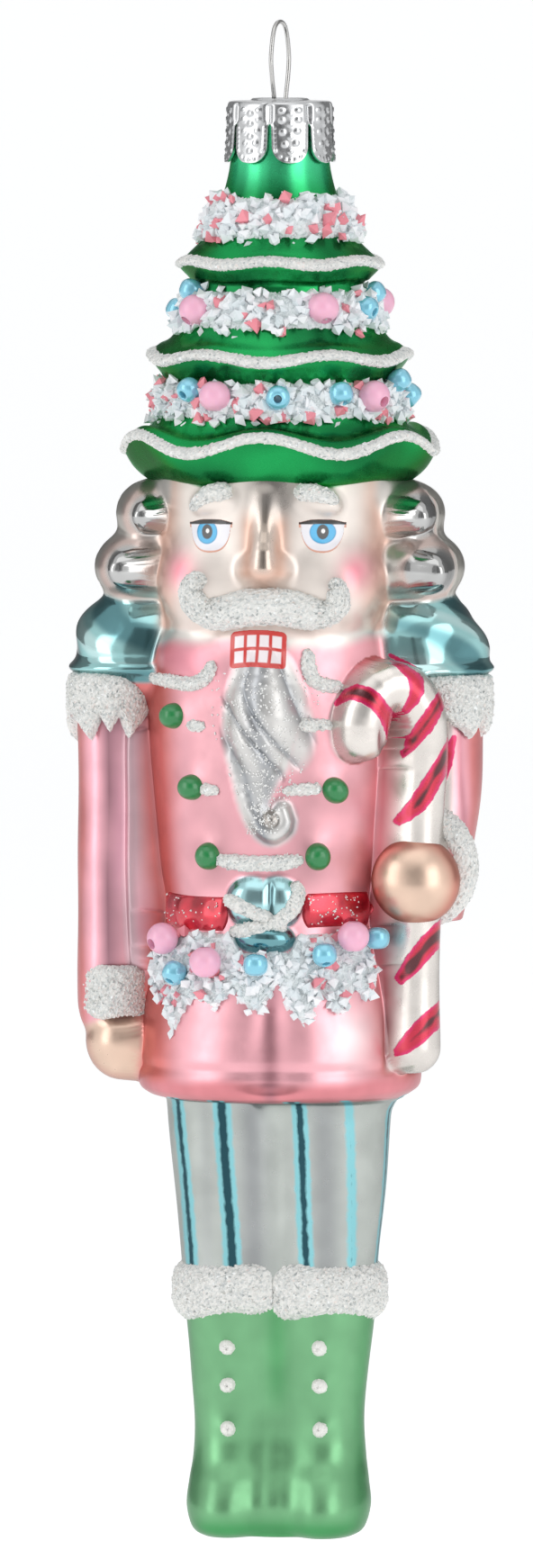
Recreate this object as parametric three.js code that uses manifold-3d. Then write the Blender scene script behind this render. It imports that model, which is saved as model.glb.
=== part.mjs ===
// A mould-blown glass nutcracker ornament with its metal cap and wire hanger.
// Lengths are in millimetres and +Z is up. The figure looks along -Y. Left and right are the viewer's, with
// +X to the right. Heights are counted from the boot soles. The finished group is moved so that its origin is
// the hanging point.
import * as THREE from "three";
import { mergeVertices } from "three/addons/utils/BufferGeometryUtils.js";
import Module from "manifold-3d";

const wasm = await Module();
wasm.setup();

// Glass and glue
const GLASS_WALL = 0.8;
const GLUE_GAP = 0.3;
const SOCKET_GAP = 0.45;
const HOLLOW_DETAIL = 0.6;
const HAT_SIDES = 18;
const COAT_SIDES = 20;
const LIMB_SIDES = 12;
const FRINGE_SIDES = 28;

// Stretches of height, from the boot soles up. Each one moves all that is above it.
const BOOT_TO_SHIN = 36;
const SOLE_TO_HEM = 55.8;
const HEM_TO_BELT = 20.5;
const BELT_TO_WAIST = 4.1;
const WAIST_TO_SHOULDER = 38.1;
const SHOULDER_TO_BRIM = 13.7;
const BRIM_TO_TIER = { low: 4.6, middle: 10.9, top: 11.8 };
const TIER_TO_STEP = { low: 2.6, middle: 3.1, top: 3.3 };
const TIER_TO_NECK = 8.8;
const NECK_LENGTH = 10.9;

const BELT_LOW = SOLE_TO_HEM + HEM_TO_BELT;
const BELT_HIGH = BELT_LOW + BELT_TO_WAIST;
const SHOULDER_HEIGHT = BELT_HIGH + WAIST_TO_SHOULDER;
const HAT_BRIM = SHOULDER_HEIGHT + SHOULDER_TO_BRIM;
const LOW_TIER = HAT_BRIM + BRIM_TO_TIER.low;
const MIDDLE_TIER = LOW_TIER + BRIM_TO_TIER.middle;
const TOP_TIER = MIDDLE_TIER + BRIM_TO_TIER.top;
const NECK_FOOT = TOP_TIER + TIER_TO_NECK;
const NECK_TOP = NECK_FOOT + NECK_LENGTH;

// Widths as half widths, and depths as reach to the front and to the back
const BRIM_RADIUS = 19.4;
const MIDDLE_TIER_RADIUS = 16.3;
const TOP_TIER_RADIUS = 12.6;
const HAT_DEPTH_SHARE = 0.92;
const NECK_RADIUS = 5.95;
const HEAD_HALF_WIDTH = 15.4;
const HEAD_FRONT = 15.6;
const HEAD_BACK = 15;
const CHEST_HALF_WIDTH = 16.9;
const CHEST_FRONT = 17;
const CHEST_BACK = 15;
const WAIST_HALF_WIDTH = 14.5;
const WAIST_FRONT = 16;
const WAIST_BACK = 14;
const SKIRT_HALF_WIDTH = 17.8;
const SKIRT_FRONT = 17.8;
const SKIRT_BACK = 15.8;
const ARM_OUT = 20.7;
const ARM_HALF_WIDTH = 4.6;
const ARM_FRONT = 6.6;
const ARM_BACK = 5.8;
const LEG_OUT = 6.5;
const ANKLE_HALF_WIDTH = 5;
const ANKLE_FRONT = 5.7;
const TOE_REACH = 8.8;
const THIGH_HALF_WIDTH = 7.3;

// Arms, hands and cane
const BELT_TO_CUFF = 13.8;
const BELT_TO_ELBOW = 0.9;
const SLEEVE_LOW = BELT_LOW - BELT_TO_CUFF;
const ELBOW_LOW = BELT_LOW + BELT_TO_ELBOW;
const FIST = { x: ARM_OUT - 2.6, y: -ARM_FRONT - 3, z: ELBOW_LOW + 5.1 };
const FIST_RADII = [5.6, 5.2, 5.1];
const HAND_RADII = [4.6, 5.8, 4.8];
const FOREARM_RADII = [5, 8, 5.8];
const SHOULDER_RADII = [9.2, 9, 7.6];
const UPPER_CURL_RADII = [4.9, 8.5, 4.4];
const LOWER_CURL_RADII = [6.3, 9.5, 5.2];
const CANE_RADIUS = 3.3;
const HEM_TO_CANE_FOOT = 2.9;
const CROOK_TOP = SHOULDER_HEIGHT - 10.7;

// Cap and hanger
const CAP_SHEET = 0.3;
const CAP_HEIGHT = 7.7;
const CAP_TO_NECK_GAP = 0.35;
const CAP_TO_LIP_GAP = 0.3;
const CAP_FLARE = 0.35;
const CAP_PETALS = 8;
const CAP_SLIT_WIDTH = 0.7;
const CAP_SLIT_HEIGHT = 4.8;
const CAP_HOLE_RADIUS = 3;
const CAP_RIM_HEIGHT = 0.35;
const WIRE_DIAMETER = 0.52;
const WIRE_HOLE_GAP = 0.32;
const LOOP_HEIGHT = 10.1;
const LOOP_HALF_WIDTH = 3.5;
const LEG_DEPTH = 20.5;
const LEG_SPRING_GAP = 0.5;
const LOOP_TURN_DEG = -11;

// Trims
const FUR_THICKNESS = 1.3;
const LINE_THICKNESS = 0.75;
const LINE_HALF_HEIGHT = 1.0;
const PIPING_RADIUS = 0.9;
const PINK_BEAD_RADIUS = 2.0;
const BLUE_BEAD_RADIUS = 1.55;
const BEAD_LENGTH_SHARE = 0.85;
const BEAD_HOLE_SHARE = 0.33;
const BEAD_SEAT_SHARE = 0.35;
const COAT_BUTTON_RADIUS = 1.8;
const BOOT_BUTTON_RADIUS = 0.95;

const HAT_SCALLOPS = 6;
const rad = THREE.MathUtils.degToRad;

// A row is one ring of a lofted body: its height z, half width w, front depth f and back depth b,
// with its middle at x, y and, on a scalloped edge, the height that each scallop rises.
function row(z, w, f = w, b = f, x = 0, y = 0, scallop = 0) {
  return { z, w, f, b, x, y, scallop };
}

// Rows moved outwards by a distance along the outline's normal. Rows on the axis only move up or down.
function grownRows(rows, grow) {
  return rows.map((r, i) => {
    const before = rows[Math.max(i - 1, 0)];
    const after = rows[Math.min(i + 1, rows.length - 1)];
    const length = Math.hypot(after.w - before.w, after.z - before.z) || 1;
    const out = (after.z - before.z) / length;
    const up = -(after.w - before.w) / length;
    if (r.w === 0) return { ...r, z: r.z + grow * Math.sign(up) };
    const side = grow * Math.max(out, 0.5);
    return { ...r, w: r.w + side, f: r.f + side, b: r.b + side, z: r.z + grow * up };
  });
}

// A body lofted through rows from the bottom up, as a lathe whose rings become ovals.
function loft(rows, sides, scallops = HAT_SCALLOPS) {
  const profile = rows.map((r) => new THREE.Vector2(r.w, r.z));
  const geometry = new THREE.LatheGeometry(profile, sides);
  geometry.rotateX(Math.PI / 2);
  const position = geometry.getAttribute("position");
  for (let i = 0; i < position.count; i++) {
    const r = rows[i % rows.length];
    const across = position.getX(i);
    const deep = position.getY(i);
    const angle = Math.atan2(across, -deep);
    const depth = deep < 0 ? r.f : r.b;
    const stretched = r.w === 0 ? 0 : (deep * depth) / r.w;
    position.setXYZ(i, across + r.x, stretched + r.y, r.z + r.scallop * Math.cos(scallops * angle));
  }
  return geometry;
}

// A geometry as a solid: shared vertices are joined and the triangles that collapse at a pole are dropped.
function solidOf(geometry) {
  geometry.deleteAttribute("normal");
  geometry.deleteAttribute("uv");
  const merged = mergeVertices(geometry, 1e-4);
  const index = merged.index.array;
  const kept = [];
  for (let i = 0; i < index.length; i += 3) {
    const [a, b, c] = [index[i], index[i + 1], index[i + 2]];
    if (a !== b && b !== c && c !== a) kept.push(a, b, c);
  }
  const vertProperties = new Float32Array(merged.getAttribute("position").array);
  const solid = new wasm.Manifold(new wasm.Mesh({ numProp: 3, vertProperties, triVerts: new Uint32Array(kept) }));
  if (solid.volume() > 0) return solid;
  for (let i = 0; i < kept.length; i += 3) [kept[i], kept[i + 1]] = [kept[i + 1], kept[i]];
  return new wasm.Manifold(new wasm.Mesh({ numProp: 3, vertProperties, triVerts: new Uint32Array(kept) }));
}

function joined(solids) {
  return solids.reduce((sum, next) => sum.add(next));
}

// The largest of a solid's separate bodies.
function mainBody(solid) {
  const bodies = solid.decompose();
  return bodies.reduce((best, body) => (body.volume() > best.volume() ? body : best));
}

// An oval ball with three half axes, turned by three angles in degrees.
function ball(centre, radii, grow = 0, turn = [0, 0, 0], sides = 10) {
  const geometry = new THREE.SphereGeometry(1, sides, Math.round(sides * 0.6));
  geometry.rotateX(Math.PI / 2);
  geometry.scale(radii[0] + grow, radii[1] + grow, radii[2] + grow);
  geometry.applyMatrix4(
    new THREE.Matrix4().makeRotationFromEuler(new THREE.Euler(rad(turn[0]), rad(turn[1]), rad(turn[2]))),
  );
  geometry.translate(...centre);
  return solidOf(geometry);
}

// A round bar of one radius along a smooth path.
function bar(points, radius, steps, sides) {
  const path = new THREE.CatmullRomCurve3(
    points.map((p) => new THREE.Vector3(...p)),
    false,
    "centripetal",
  );
  const section = new THREE.Shape();
  for (let i = 0; i < sides; i++) {
    const angle = (2 * Math.PI * i) / sides;
    const corner = [radius * Math.cos(angle), radius * Math.sin(angle)];
    if (i === 0) section.moveTo(...corner);
    else section.lineTo(...corner);
  }
  section.closePath();
  return solidOf(new THREE.ExtrudeGeometry(section, { steps, extrudePath: path }));
}

// The hat's outline from the brim up to the neck's lip. Each tier flares to a scalloped edge.
const SCALLOP = { low: 1.1, middle: -0.7, top: 0.3 };

function hatRow(z, w, scallop = 0) {
  const depth = w * HAT_DEPTH_SHARE;
  return row(z, w, depth, depth, 0, 0, scallop);
}

function hatRows() {
  return [
    row(HAT_BRIM - 0.2, 0),
    hatRow(HAT_BRIM, BRIM_RADIUS - 4.8),
    hatRow(HAT_BRIM + 0.5, BRIM_RADIUS - 3, SCALLOP.low / 3),
    hatRow(LOW_TIER - 2.2, BRIM_RADIUS - 1.2, SCALLOP.low * 0.8),
    hatRow(LOW_TIER - 0.3, BRIM_RADIUS - 0.1, SCALLOP.low),
    hatRow(LOW_TIER + 0.6, BRIM_RADIUS, SCALLOP.low),
    hatRow(LOW_TIER + 1.7, BRIM_RADIUS - 1.1, SCALLOP.low * 0.8),
    hatRow(LOW_TIER + TIER_TO_STEP.low, BRIM_RADIUS - 3.3, SCALLOP.low / 4),
    hatRow(MIDDLE_TIER - 3.5, MIDDLE_TIER_RADIUS - 2.1),
    hatRow(MIDDLE_TIER - 2.2, MIDDLE_TIER_RADIUS - 1.5, SCALLOP.middle / 2),
    hatRow(MIDDLE_TIER - 0.6, MIDDLE_TIER_RADIUS - 0.3, SCALLOP.middle),
    hatRow(MIDDLE_TIER + 0.3, MIDDLE_TIER_RADIUS, SCALLOP.middle),
    hatRow(MIDDLE_TIER + 1.4, MIDDLE_TIER_RADIUS - 1.2, SCALLOP.middle * 0.7),
    hatRow(MIDDLE_TIER + TIER_TO_STEP.middle, MIDDLE_TIER_RADIUS - 3.1),
    hatRow(TOP_TIER - 3.2, TOP_TIER_RADIUS - 2.1),
    hatRow(TOP_TIER - 1.8, TOP_TIER_RADIUS - 1.3, SCALLOP.top / 2),
    hatRow(TOP_TIER - 0.5, TOP_TIER_RADIUS - 0.2, SCALLOP.top),
    hatRow(TOP_TIER + 0.3, TOP_TIER_RADIUS, SCALLOP.top),
    hatRow(TOP_TIER + 1.4, TOP_TIER_RADIUS - 1.2, SCALLOP.top / 2),
    hatRow(TOP_TIER + TIER_TO_STEP.top, TOP_TIER_RADIUS - 3.1),
    hatRow(NECK_FOOT - 2.8, NECK_RADIUS + 1.95),
    row(NECK_FOOT, NECK_RADIUS + 0.95),
    row(NECK_FOOT + 2.9, NECK_RADIUS + 0.4),
    row(NECK_FOOT + 3.6, NECK_RADIUS),
    row(NECK_TOP, NECK_RADIUS),
    row(NECK_TOP, 0),
  ];
}

function headRows() {
  const w = HEAD_HALF_WIDTH;
  const f = HEAD_FRONT;
  const b = HEAD_BACK;
  const up = (share) => SHOULDER_HEIGHT + share * SHOULDER_TO_BRIM;
  return [
    row(up(-0.66), 0),
    row(up(-0.62), w - 4.4, f - 1.2, b - 4),
    row(up(-0.4), w - 1.8, f - 0.4, b - 2.5),
    row(up(-0.04), w - 0.2, f, b - 0.8),
    row(up(0.4), w, f, b),
    row(up(0.84), w + 0.2, f - 0.2, b),
    row(HAT_BRIM + 0.6, w, f - 1, b - 0.4),
    row(HAT_BRIM + 3.4, w - 0.2, f - 1, b - 0.4),
    row(HAT_BRIM + 3.8, 0),
  ];
}

function coatRows() {
  const chest = CHEST_HALF_WIDTH;
  const waist = WAIST_HALF_WIDTH;
  const skirt = SKIRT_HALF_WIDTH;
  const up = (share) => BELT_HIGH + share * WAIST_TO_SHOULDER;
  return [
    row(SOLE_TO_HEM, 0),
    row(SOLE_TO_HEM + 0.1, skirt - 1.6, SKIRT_FRONT - 1.4, SKIRT_BACK - 1.2),
    row(SOLE_TO_HEM + 1.2, skirt, SKIRT_FRONT, SKIRT_BACK),
    row(SOLE_TO_HEM + 0.24 * HEM_TO_BELT, skirt - 0.1, SKIRT_FRONT, SKIRT_BACK),
    row(SOLE_TO_HEM + 0.58 * HEM_TO_BELT, skirt - 0.9, SKIRT_FRONT - 0.6, SKIRT_BACK - 0.6),
    row(SOLE_TO_HEM + 0.85 * HEM_TO_BELT, waist + 1.1, WAIST_FRONT + 0.5, WAIST_BACK + 0.6),
    row(BELT_LOW, waist + 0.2, WAIST_FRONT + 0.1, WAIST_BACK + 0.2),
    row(BELT_HIGH, waist, WAIST_FRONT, WAIST_BACK),
    row(up(0.12), waist + 0.7, WAIST_FRONT + 0.3, WAIST_BACK + 0.3),
    row(up(0.37), chest - 0.6, CHEST_FRONT - 0.1, CHEST_BACK - 0.2),
    row(up(0.63), chest, CHEST_FRONT, CHEST_BACK),
    row(up(0.82), chest - 0.3, CHEST_FRONT - 0.6, CHEST_BACK - 0.2),
    row(up(0.91), chest - 2.2, CHEST_FRONT - 2.4, CHEST_BACK - 1.6),
    row(up(0.985), chest - 6, CHEST_FRONT - 6, CHEST_BACK - 4.6),
    row(SHOULDER_HEIGHT, 0),
  ];
}

// A trouser leg with its boot. side is 1 for the leg on +X.
function legRows(side) {
  const at = (z, w, f, b, x, y = 0) => row(z, w, f, b, side * x, y);
  const leg = LEG_OUT;
  const ankle = ANKLE_HALF_WIDTH;
  const thigh = THIGH_HALF_WIDTH;
  const front = ANKLE_FRONT;
  const up = (share) => share * BOOT_TO_SHIN;
  return [
    at(0, 0, 0, 0, leg - 0.5, -1.5),
    at(0, ankle - 1.4, TOE_REACH - 2.8, ankle - 0.4, leg - 0.5, -1.5),
    at(up(0.04), ankle - 0.1, TOE_REACH - 0.8, ankle + 0.9, leg - 0.4, -1.2),
    at(up(0.11), ankle + 0.4, TOE_REACH, ankle + 1.2, leg - 0.3, -0.8),
    at(up(0.195), ankle + 0.3, TOE_REACH - 0.9, ankle + 0.7, leg - 0.5, -0.4),
    at(up(0.28), ankle + 0.1, front + 0.7, ankle + 0.2, leg - 0.7),
    at(up(0.41), ankle, front, ankle + 0.1, leg - 0.8),
    at(up(0.58), ankle + 0.4, front + 0.6, ankle + 0.6, leg - 0.7),
    at(up(0.745), ankle + 0.8, front + 1.2, ankle + 1.2, leg - 0.5),
    at(up(0.85), ankle + 1.1, front + 1.5, ankle + 1.5, leg - 0.4),
    at(BOOT_TO_SHIN, thigh - 1.1, front + 1.9, thigh - 0.5, leg - 0.2),
    at((BOOT_TO_SHIN + SOLE_TO_HEM) / 2, thigh - 0.5, front + 2.9, thigh + 0.5, leg + 0.2),
    at(SOLE_TO_HEM + 1, thigh, front + 3.9, thigh + 1.5, leg + 0.5),
    at(SOLE_TO_HEM + 3, thigh - 0.2, front + 3.7, thigh + 1.3, leg + 0.5),
    at(SOLE_TO_HEM + 3.4, 0, 0, 0, leg + 0.5),
  ];
}

// The upper arm and sleeve down to a height. side is 1 for the arm on +X.
function armRows(side, bottom) {
  const at = (z, w, f, b) => row(z, w, f, b, side * ARM_OUT);
  const w = ARM_HALF_WIDTH;
  const f = ARM_FRONT;
  const b = ARM_BACK;
  return [
    at(bottom, 0, 0, 0),
    at(bottom + 0.6, w - 1.6, f - 2.8, b - 2.2),
    at(bottom + 2.6, w - 0.3, f - 1, b - 0.8),
    at(bottom + 8, w, f - 0.2, b - 0.2),
    at(SHOULDER_HEIGHT - 20, w, f, b),
    at(SHOULDER_HEIGHT - 13, w, f - 0.2, b),
    at(SHOULDER_HEIGHT - 8, w - 0.4, f - 1, b - 0.6),
    at(SHOULDER_HEIGHT - 6, 0, 0, 0),
  ];
}

// The fold of the coat that fills the gap between arm and waist.
function foldRows(side, bottom) {
  const at = (z, w, f, b) => row(z, w, f, b, side * (ARM_OUT - ARM_HALF_WIDTH - 0.9));
  return [
    at(bottom, 0, 0, 0),
    at(bottom + 1, 2.2, ARM_FRONT - 3.4, ARM_BACK - 2.8),
    at(bottom + 6, 3, ARM_FRONT - 2, ARM_BACK - 1.6),
    at(SHOULDER_HEIGHT - 16, 3, ARM_FRONT - 1.8, ARM_BACK - 1.4),
    at(SHOULDER_HEIGHT - 12, 0, 0, 0),
  ];
}

// The candy cane: a straight shaft and a crook that bends over towards the chest.
function cane(grow, sides) {
  const radius = CANE_RADIUS + grow;
  const foot = [FIST.x - 0.1, FIST.y + 2, SOLE_TO_HEM + HEM_TO_CANE_FOOT + CANE_RADIUS];
  const end = [FIST.x - 6.1, FIST.y - 4.6, CROOK_TOP - 6.2];
  const points = [
    foot,
    [FIST.x + 0.3, FIST.y + 0.9, FIST.z],
    [FIST.x + 0.8, FIST.y + 0.7, CROOK_TOP - 9],
    [FIST.x + 1.1, FIST.y - 0.6, CROOK_TOP - 3.8],
    [FIST.x - 0.6, FIST.y - 2.2, CROOK_TOP - 0.2],
    [FIST.x - 3.4, FIST.y - 3.9, CROOK_TOP],
    [FIST.x - 5.7, FIST.y - 4.5, CROOK_TOP - 3],
    end,
  ];
  const knob = [CANE_RADIUS, CANE_RADIUS, CANE_RADIUS];
  const ends = [foot, end].map((place) => ball(place, knob, grow, [0, 0, 0], sides));
  return joined([bar(points, radius, 2 * sides, sides), ...ends]);
}

// The large bodies of the glass figure, with their surface moved outwards by grow, or inwards where it is
// negative.
function bulk(grow, detail = 1) {
  const fewer = (sides) => Math.max(6, 2 * Math.round((sides * detail) / 2));
  const body = (rows, sides) => solidOf(loft(grownRows(rows, grow), fewer(sides)));
  const lump = (centre, radii, sides = 10) => ball(centre, radii, grow, [0, 0, 0], fewer(sides));
  const mirrored = (centre, radii, sides) =>
    [-1, 1].map((side) => lump([side * centre[0], centre[1], centre[2]], radii, sides));
  return joined([
    body(hatRows(), HAT_SIDES),
    body(headRows(), HAT_SIDES),
    body(coatRows(), COAT_SIDES),
    body(legRows(-1), LIMB_SIDES),
    body(legRows(1), LIMB_SIDES),
    body(armRows(-1, SLEEVE_LOW), LIMB_SIDES),
    body(armRows(1, ELBOW_LOW), LIMB_SIDES),
    body(foldRows(-1, SLEEVE_LOW + 2), 10),
    body(foldRows(1, ELBOW_LOW + 2), 10),
    ...mirrored([CHEST_HALF_WIDTH + 0.3, 0, SHOULDER_HEIGHT - 7.7], SHOULDER_RADII, 12),
    ...mirrored([HEAD_HALF_WIDTH + 0.6, 0.5, HAT_BRIM - 3.8], UPPER_CURL_RADII, 10),
    ...mirrored([HEAD_HALF_WIDTH + 1.6, 0.5, SHOULDER_HEIGHT + 2.9], LOWER_CURL_RADII, 10),
    lump([ARM_OUT - 0.9, 2.1 - ARM_FRONT, ELBOW_LOW + 6.4], FOREARM_RADII),
    lump([FIST.x, FIST.y, FIST.z], FIST_RADII),
    lump([1.2 - ARM_OUT, -0.8, SLEEVE_LOW - 0.9], HAND_RADII),
    lump([0, -0.5, (SOLE_TO_HEM + 2.2) / 2], [LEG_OUT - 3.9, 4.2, (SOLE_TO_HEM + 0.2) / 2]),
    cane(grow, fewer(8)),
  ]);
}

// The moulded relief on the front: nose, beard with its curl, and the bow on the belt.
const RELIEF_X = 0.1;
const NOSE_RADII = [1.7, 2.6, 5];
const NOSE_TIP_RADII = [2.3, 2.3, 2];
const BEARD_RADII = [5.2, 3.2, 10.6];
const BEARD_CURL_RADII = [2.2, 2.4, 2.2];
const BOW_RADII = [5, 2.2, 4.3];
const BELT_MIDDLE = (BELT_LOW + BELT_HIGH) / 2;

function relief(grow) {
  return joined([
    ball([RELIEF_X, 0.4 - HEAD_FRONT, HAT_BRIM - 8], NOSE_RADII, grow, [-8, 0, 0], 8),
    ball([RELIEF_X, -0.6 - HEAD_FRONT, HAT_BRIM - 11.1], NOSE_TIP_RADII, grow, [0, 0, 0], 8),
    ball([RELIEF_X, 1.6 - CHEST_FRONT, SHOULDER_HEIGHT - 19.5], BEARD_RADII, grow, [-2, 0, 0]),
    ball([RELIEF_X + 1.1, 1 - CHEST_FRONT, SHOULDER_HEIGHT - 28.9], BEARD_CURL_RADII, grow, [0, 0, 0], 8),
    ball([RELIEF_X, 0.6 - WAIST_FRONT, BELT_MIDDLE], BOW_RADII, grow),
  ]);
}

const outer = bulk(0).add(relief(0));
const glueLine = bulk(GLUE_GAP).add(relief(GLUE_GAP));

// The hollow inside, which leaves the figure through the open neck.
function glassBody() {
  const hollow = mainBody(bulk(-GLASS_WALL, HOLLOW_DETAIL));
  const bore = solidOf(
    loft(
      [
        row(NECK_FOOT, 0),
        row(NECK_FOOT, NECK_RADIUS - GLASS_WALL),
        row(NECK_TOP + 1, NECK_RADIUS - GLASS_WALL),
        row(NECK_TOP + 1, 0),
      ],
      HAT_SIDES,
    ),
  );
  return mainBody(outer.subtract(hollow.add(bore)));
}

// A trim of glitter or crushed glass: a body laid over the glass, cut back to the glue line.
function trim(solid) {
  return mainBody(solid.subtract(glueLine));
}

function meshOf(name, solid, material) {
  const made = solid.getMesh();
  const geometry = new THREE.BufferGeometry();
  geometry.setAttribute("position", new THREE.BufferAttribute(new Float32Array(made.vertProperties), 3));
  geometry.setIndex(new THREE.BufferAttribute(new Uint32Array(made.triVerts), 1));
  geometry.computeVertexNormals();
  const mesh = new THREE.Mesh(geometry, material);
  mesh.name = name;
  return mesh;
}

const finish = {
  glass: new THREE.MeshStandardMaterial({ color: 0xd98f96, roughness: 0.15, metalness: 0.85 }),
  metal: new THREE.MeshStandardMaterial({ color: 0xc9c9cc, roughness: 0.3, metalness: 1 }),
  snow: new THREE.MeshStandardMaterial({ color: 0xeef1f4, roughness: 0.6, metalness: 0 }),
  pinkBead: new THREE.MeshStandardMaterial({ color: 0xf0a9c4, roughness: 0.25, metalness: 0 }),
  blueBead: new THREE.MeshStandardMaterial({ color: 0x62b6d3, roughness: 0.2, metalness: 0 }),
  greenEnamel: new THREE.MeshStandardMaterial({ color: 0x12863f, roughness: 0.15, metalness: 0 }),
  whiteEnamel: new THREE.MeshStandardMaterial({ color: 0xf2f2f0, roughness: 0.2, metalness: 0 }),
};

const ornament = new THREE.Group();
const figurine = new THREE.Group();
ornament.add(figurine);

function place(name, solid, material) {
  figurine.add(meshOf(name, solid, material));
}

place("glass_body", glassBody(), finish.glass);

// The cap: a thin cup over the neck, slit from below into petals.
function hangerCap() {
  const inner = NECK_RADIUS + CAP_TO_NECK_GAP;
  const under = NECK_TOP + CAP_TO_LIP_GAP;
  const over = under + CAP_SHEET;
  const foot = over - CAP_HEIGHT;
  const bend = 0.3;
  const section = [
    [CAP_HOLE_RADIUS, under],
    [inner - bend, under],
    [inner, under - bend],
    [inner + 0.1, foot + CAP_SLIT_HEIGHT],
    [inner + CAP_FLARE, foot],
    [inner + CAP_FLARE + CAP_SHEET, foot],
    [inner + 0.1 + CAP_SHEET, foot + CAP_SLIT_HEIGHT],
    [inner + CAP_SHEET, under - bend + 0.4 * CAP_SHEET],
    [inner - bend + 0.4 * CAP_SHEET, over],
    [CAP_HOLE_RADIUS + 0.9, over],
    [CAP_HOLE_RADIUS + 0.35, over + CAP_RIM_HEIGHT],
    [CAP_HOLE_RADIUS, over + CAP_RIM_HEIGHT],
    [CAP_HOLE_RADIUS, under],
  ];
  const cup = new THREE.LatheGeometry(
    section.map(([r, z]) => new THREE.Vector2(r, z)),
    24,
  );
  cup.rotateX(Math.PI / 2);
  let cap = solidOf(cup);
  const slit = new THREE.Shape();
  const half = CAP_SLIT_WIDTH / 2;
  const corner = 1.2;
  slit.moveTo(-half, CAP_SLIT_HEIGHT);
  slit.lineTo(-half, corner);
  slit.quadraticCurveTo(-half, 0, -half - corner, -0.1);
  slit.lineTo(half + corner, -0.1);
  slit.quadraticCurveTo(half, 0, half, corner);
  slit.lineTo(half, CAP_SLIT_HEIGHT);
  slit.closePath();
  for (let i = 0; i < CAP_PETALS; i++) {
    const cutter = new THREE.ExtrudeGeometry(slit, { depth: inner + 4, bevelEnabled: false, curveSegments: 3 });
    cutter.rotateX(Math.PI / 2);
    cutter.rotateZ(((i + 0.5) * 2 * Math.PI) / CAP_PETALS);
    cutter.translate(0, 0, foot);
    cap = cap.subtract(solidOf(cutter));
  }
  return cap;
}

place("hanger_cap", hangerCap(), finish.metal);

// The hanger: one spring wire with an oval loop above the cap and two legs that splay inside the neck.
const capTop = NECK_TOP + CAP_TO_LIP_GAP + CAP_SHEET;
const loopTop = capTop + LOOP_HEIGHT;
const hangingHeight = loopTop - WIRE_DIAMETER;

function hangerWire() {
  const atHole = CAP_HOLE_RADIUS - WIRE_HOLE_GAP - WIRE_DIAMETER / 2;
  const splay = NECK_RADIUS - GLASS_WALL - LEG_SPRING_GAP - WIRE_DIAMETER / 2;
  const side = [
    [splay - 0.5, capTop - LEG_DEPTH],
    [splay, capTop - LEG_DEPTH * 0.8],
    [splay - 0.4, capTop - LEG_DEPTH * 0.55],
    [(splay + atHole) / 2, capTop - LEG_DEPTH * 0.25],
    [atHole, capTop - 0.6],
    [atHole, capTop + 0.7],
    [LOOP_HALF_WIDTH - 0.35, capTop + LOOP_HEIGHT * 0.3],
    [LOOP_HALF_WIDTH, capTop + LOOP_HEIGHT * 0.55],
    [LOOP_HALF_WIDTH - 1.2, capTop + LOOP_HEIGHT * 0.88],
  ];
  const top = [[0, loopTop - WIRE_DIAMETER / 2]];
  const other = side.map(([u, z]) => [-u, z]).reverse();
  const turn = rad(LOOP_TURN_DEG);
  const points = [...side, ...top, ...other].map(([u, z]) => [-u * Math.sin(turn), u * Math.cos(turn), z]);
  return bar(points, WIRE_DIAMETER / 2, 52, 6);
}

place("hanger_wire", hangerWire(), finish.metal);

// Beads are pressed into the snow: each leaves a socket there. Angles go round from the front towards +X.
function beadBarrel(radius) {
  const half = radius * BEAD_LENGTH_SHARE;
  const hole = radius * BEAD_HOLE_SHARE;
  const profile = [
    [hole, -half],
    [radius * 0.5, -half],
    [radius, -half * 0.4],
    [radius, half * 0.4],
    [radius * 0.5, half],
    [hole, half],
    [hole, -half],
  ];
  return new THREE.LatheGeometry(
    profile.map(([r, y]) => new THREE.Vector2(r, y)),
    6,
  );
}

// The middle of a bead at an angle and height on an oval ring.
function beadCentre(bead, ring) {
  const angle = rad(bead.angle);
  const seat = bead.radius * BEAD_SEAT_SHARE;
  const depth = Math.abs(bead.angle) > 90 ? ring.b : ring.f;
  return [(ring.w + seat) * Math.sin(angle), -(depth + seat) * Math.cos(angle), bead.z];
}

// tip is the lean of a bead's hole from the outward direction, in degrees.
function beadAt(bead, ring) {
  const geometry = beadBarrel(bead.radius);
  geometry.rotateX(rad(bead.tip));
  geometry.rotateZ(rad(bead.angle));
  geometry.translate(...beadCentre(bead, ring));
  return solidOf(geometry);
}

function socketAt(bead, ring) {
  const reach = bead.radius + SOCKET_GAP;
  return ball(beadCentre(bead, ring), [reach, reach, reach], 0, [0, 0, 0], 8);
}

function snowWithBeads(name, rows, beads, ringAt) {
  let snow = solidOf(loft(rows, HAT_SIDES));
  for (const bead of beads) snow = snow.subtract(socketAt(bead, ringAt(bead.z)));
  place(name, trim(snow), finish.snow);
}

function placeBeads(beads, ringAt) {
  for (const bead of beads) {
    const material = bead.radius === PINK_BEAD_RADIUS ? finish.pinkBead : finish.blueBead;
    place(bead.name, trim(beadAt(bead, ringAt(bead.z))), material);
  }
}

// A list of beads over a height. Each is a kind, an angle, how far up it sits and the tip of its hole.
function named(prefix, foot, list) {
  return list.map(([kind, angle, up, tip], i) => ({
    name: `bead_${prefix}_${i + 1}`,
    radius: kind === "pink" ? PINK_BEAD_RADIUS : BLUE_BEAD_RADIUS,
    angle,
    z: foot + up,
    tip,
  }));
}

// A body's outline at one height, worked out between its rows.
function ringOn(rows, z) {
  const above = rows.findIndex((r) => r.z >= z);
  const [low, high] = [rows[above - 1], rows[above]];
  const share = (z - low.z) / (high.z - low.z);
  const mix = (key) => THREE.MathUtils.lerp(low[key], high[key], share);
  return row(z, mix("w"), mix("f"), mix("b"), mix("x"), mix("y"));
}

const SNOW_EDGE = 0.7;
const SNOW_BULGE = 0.2;

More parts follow.
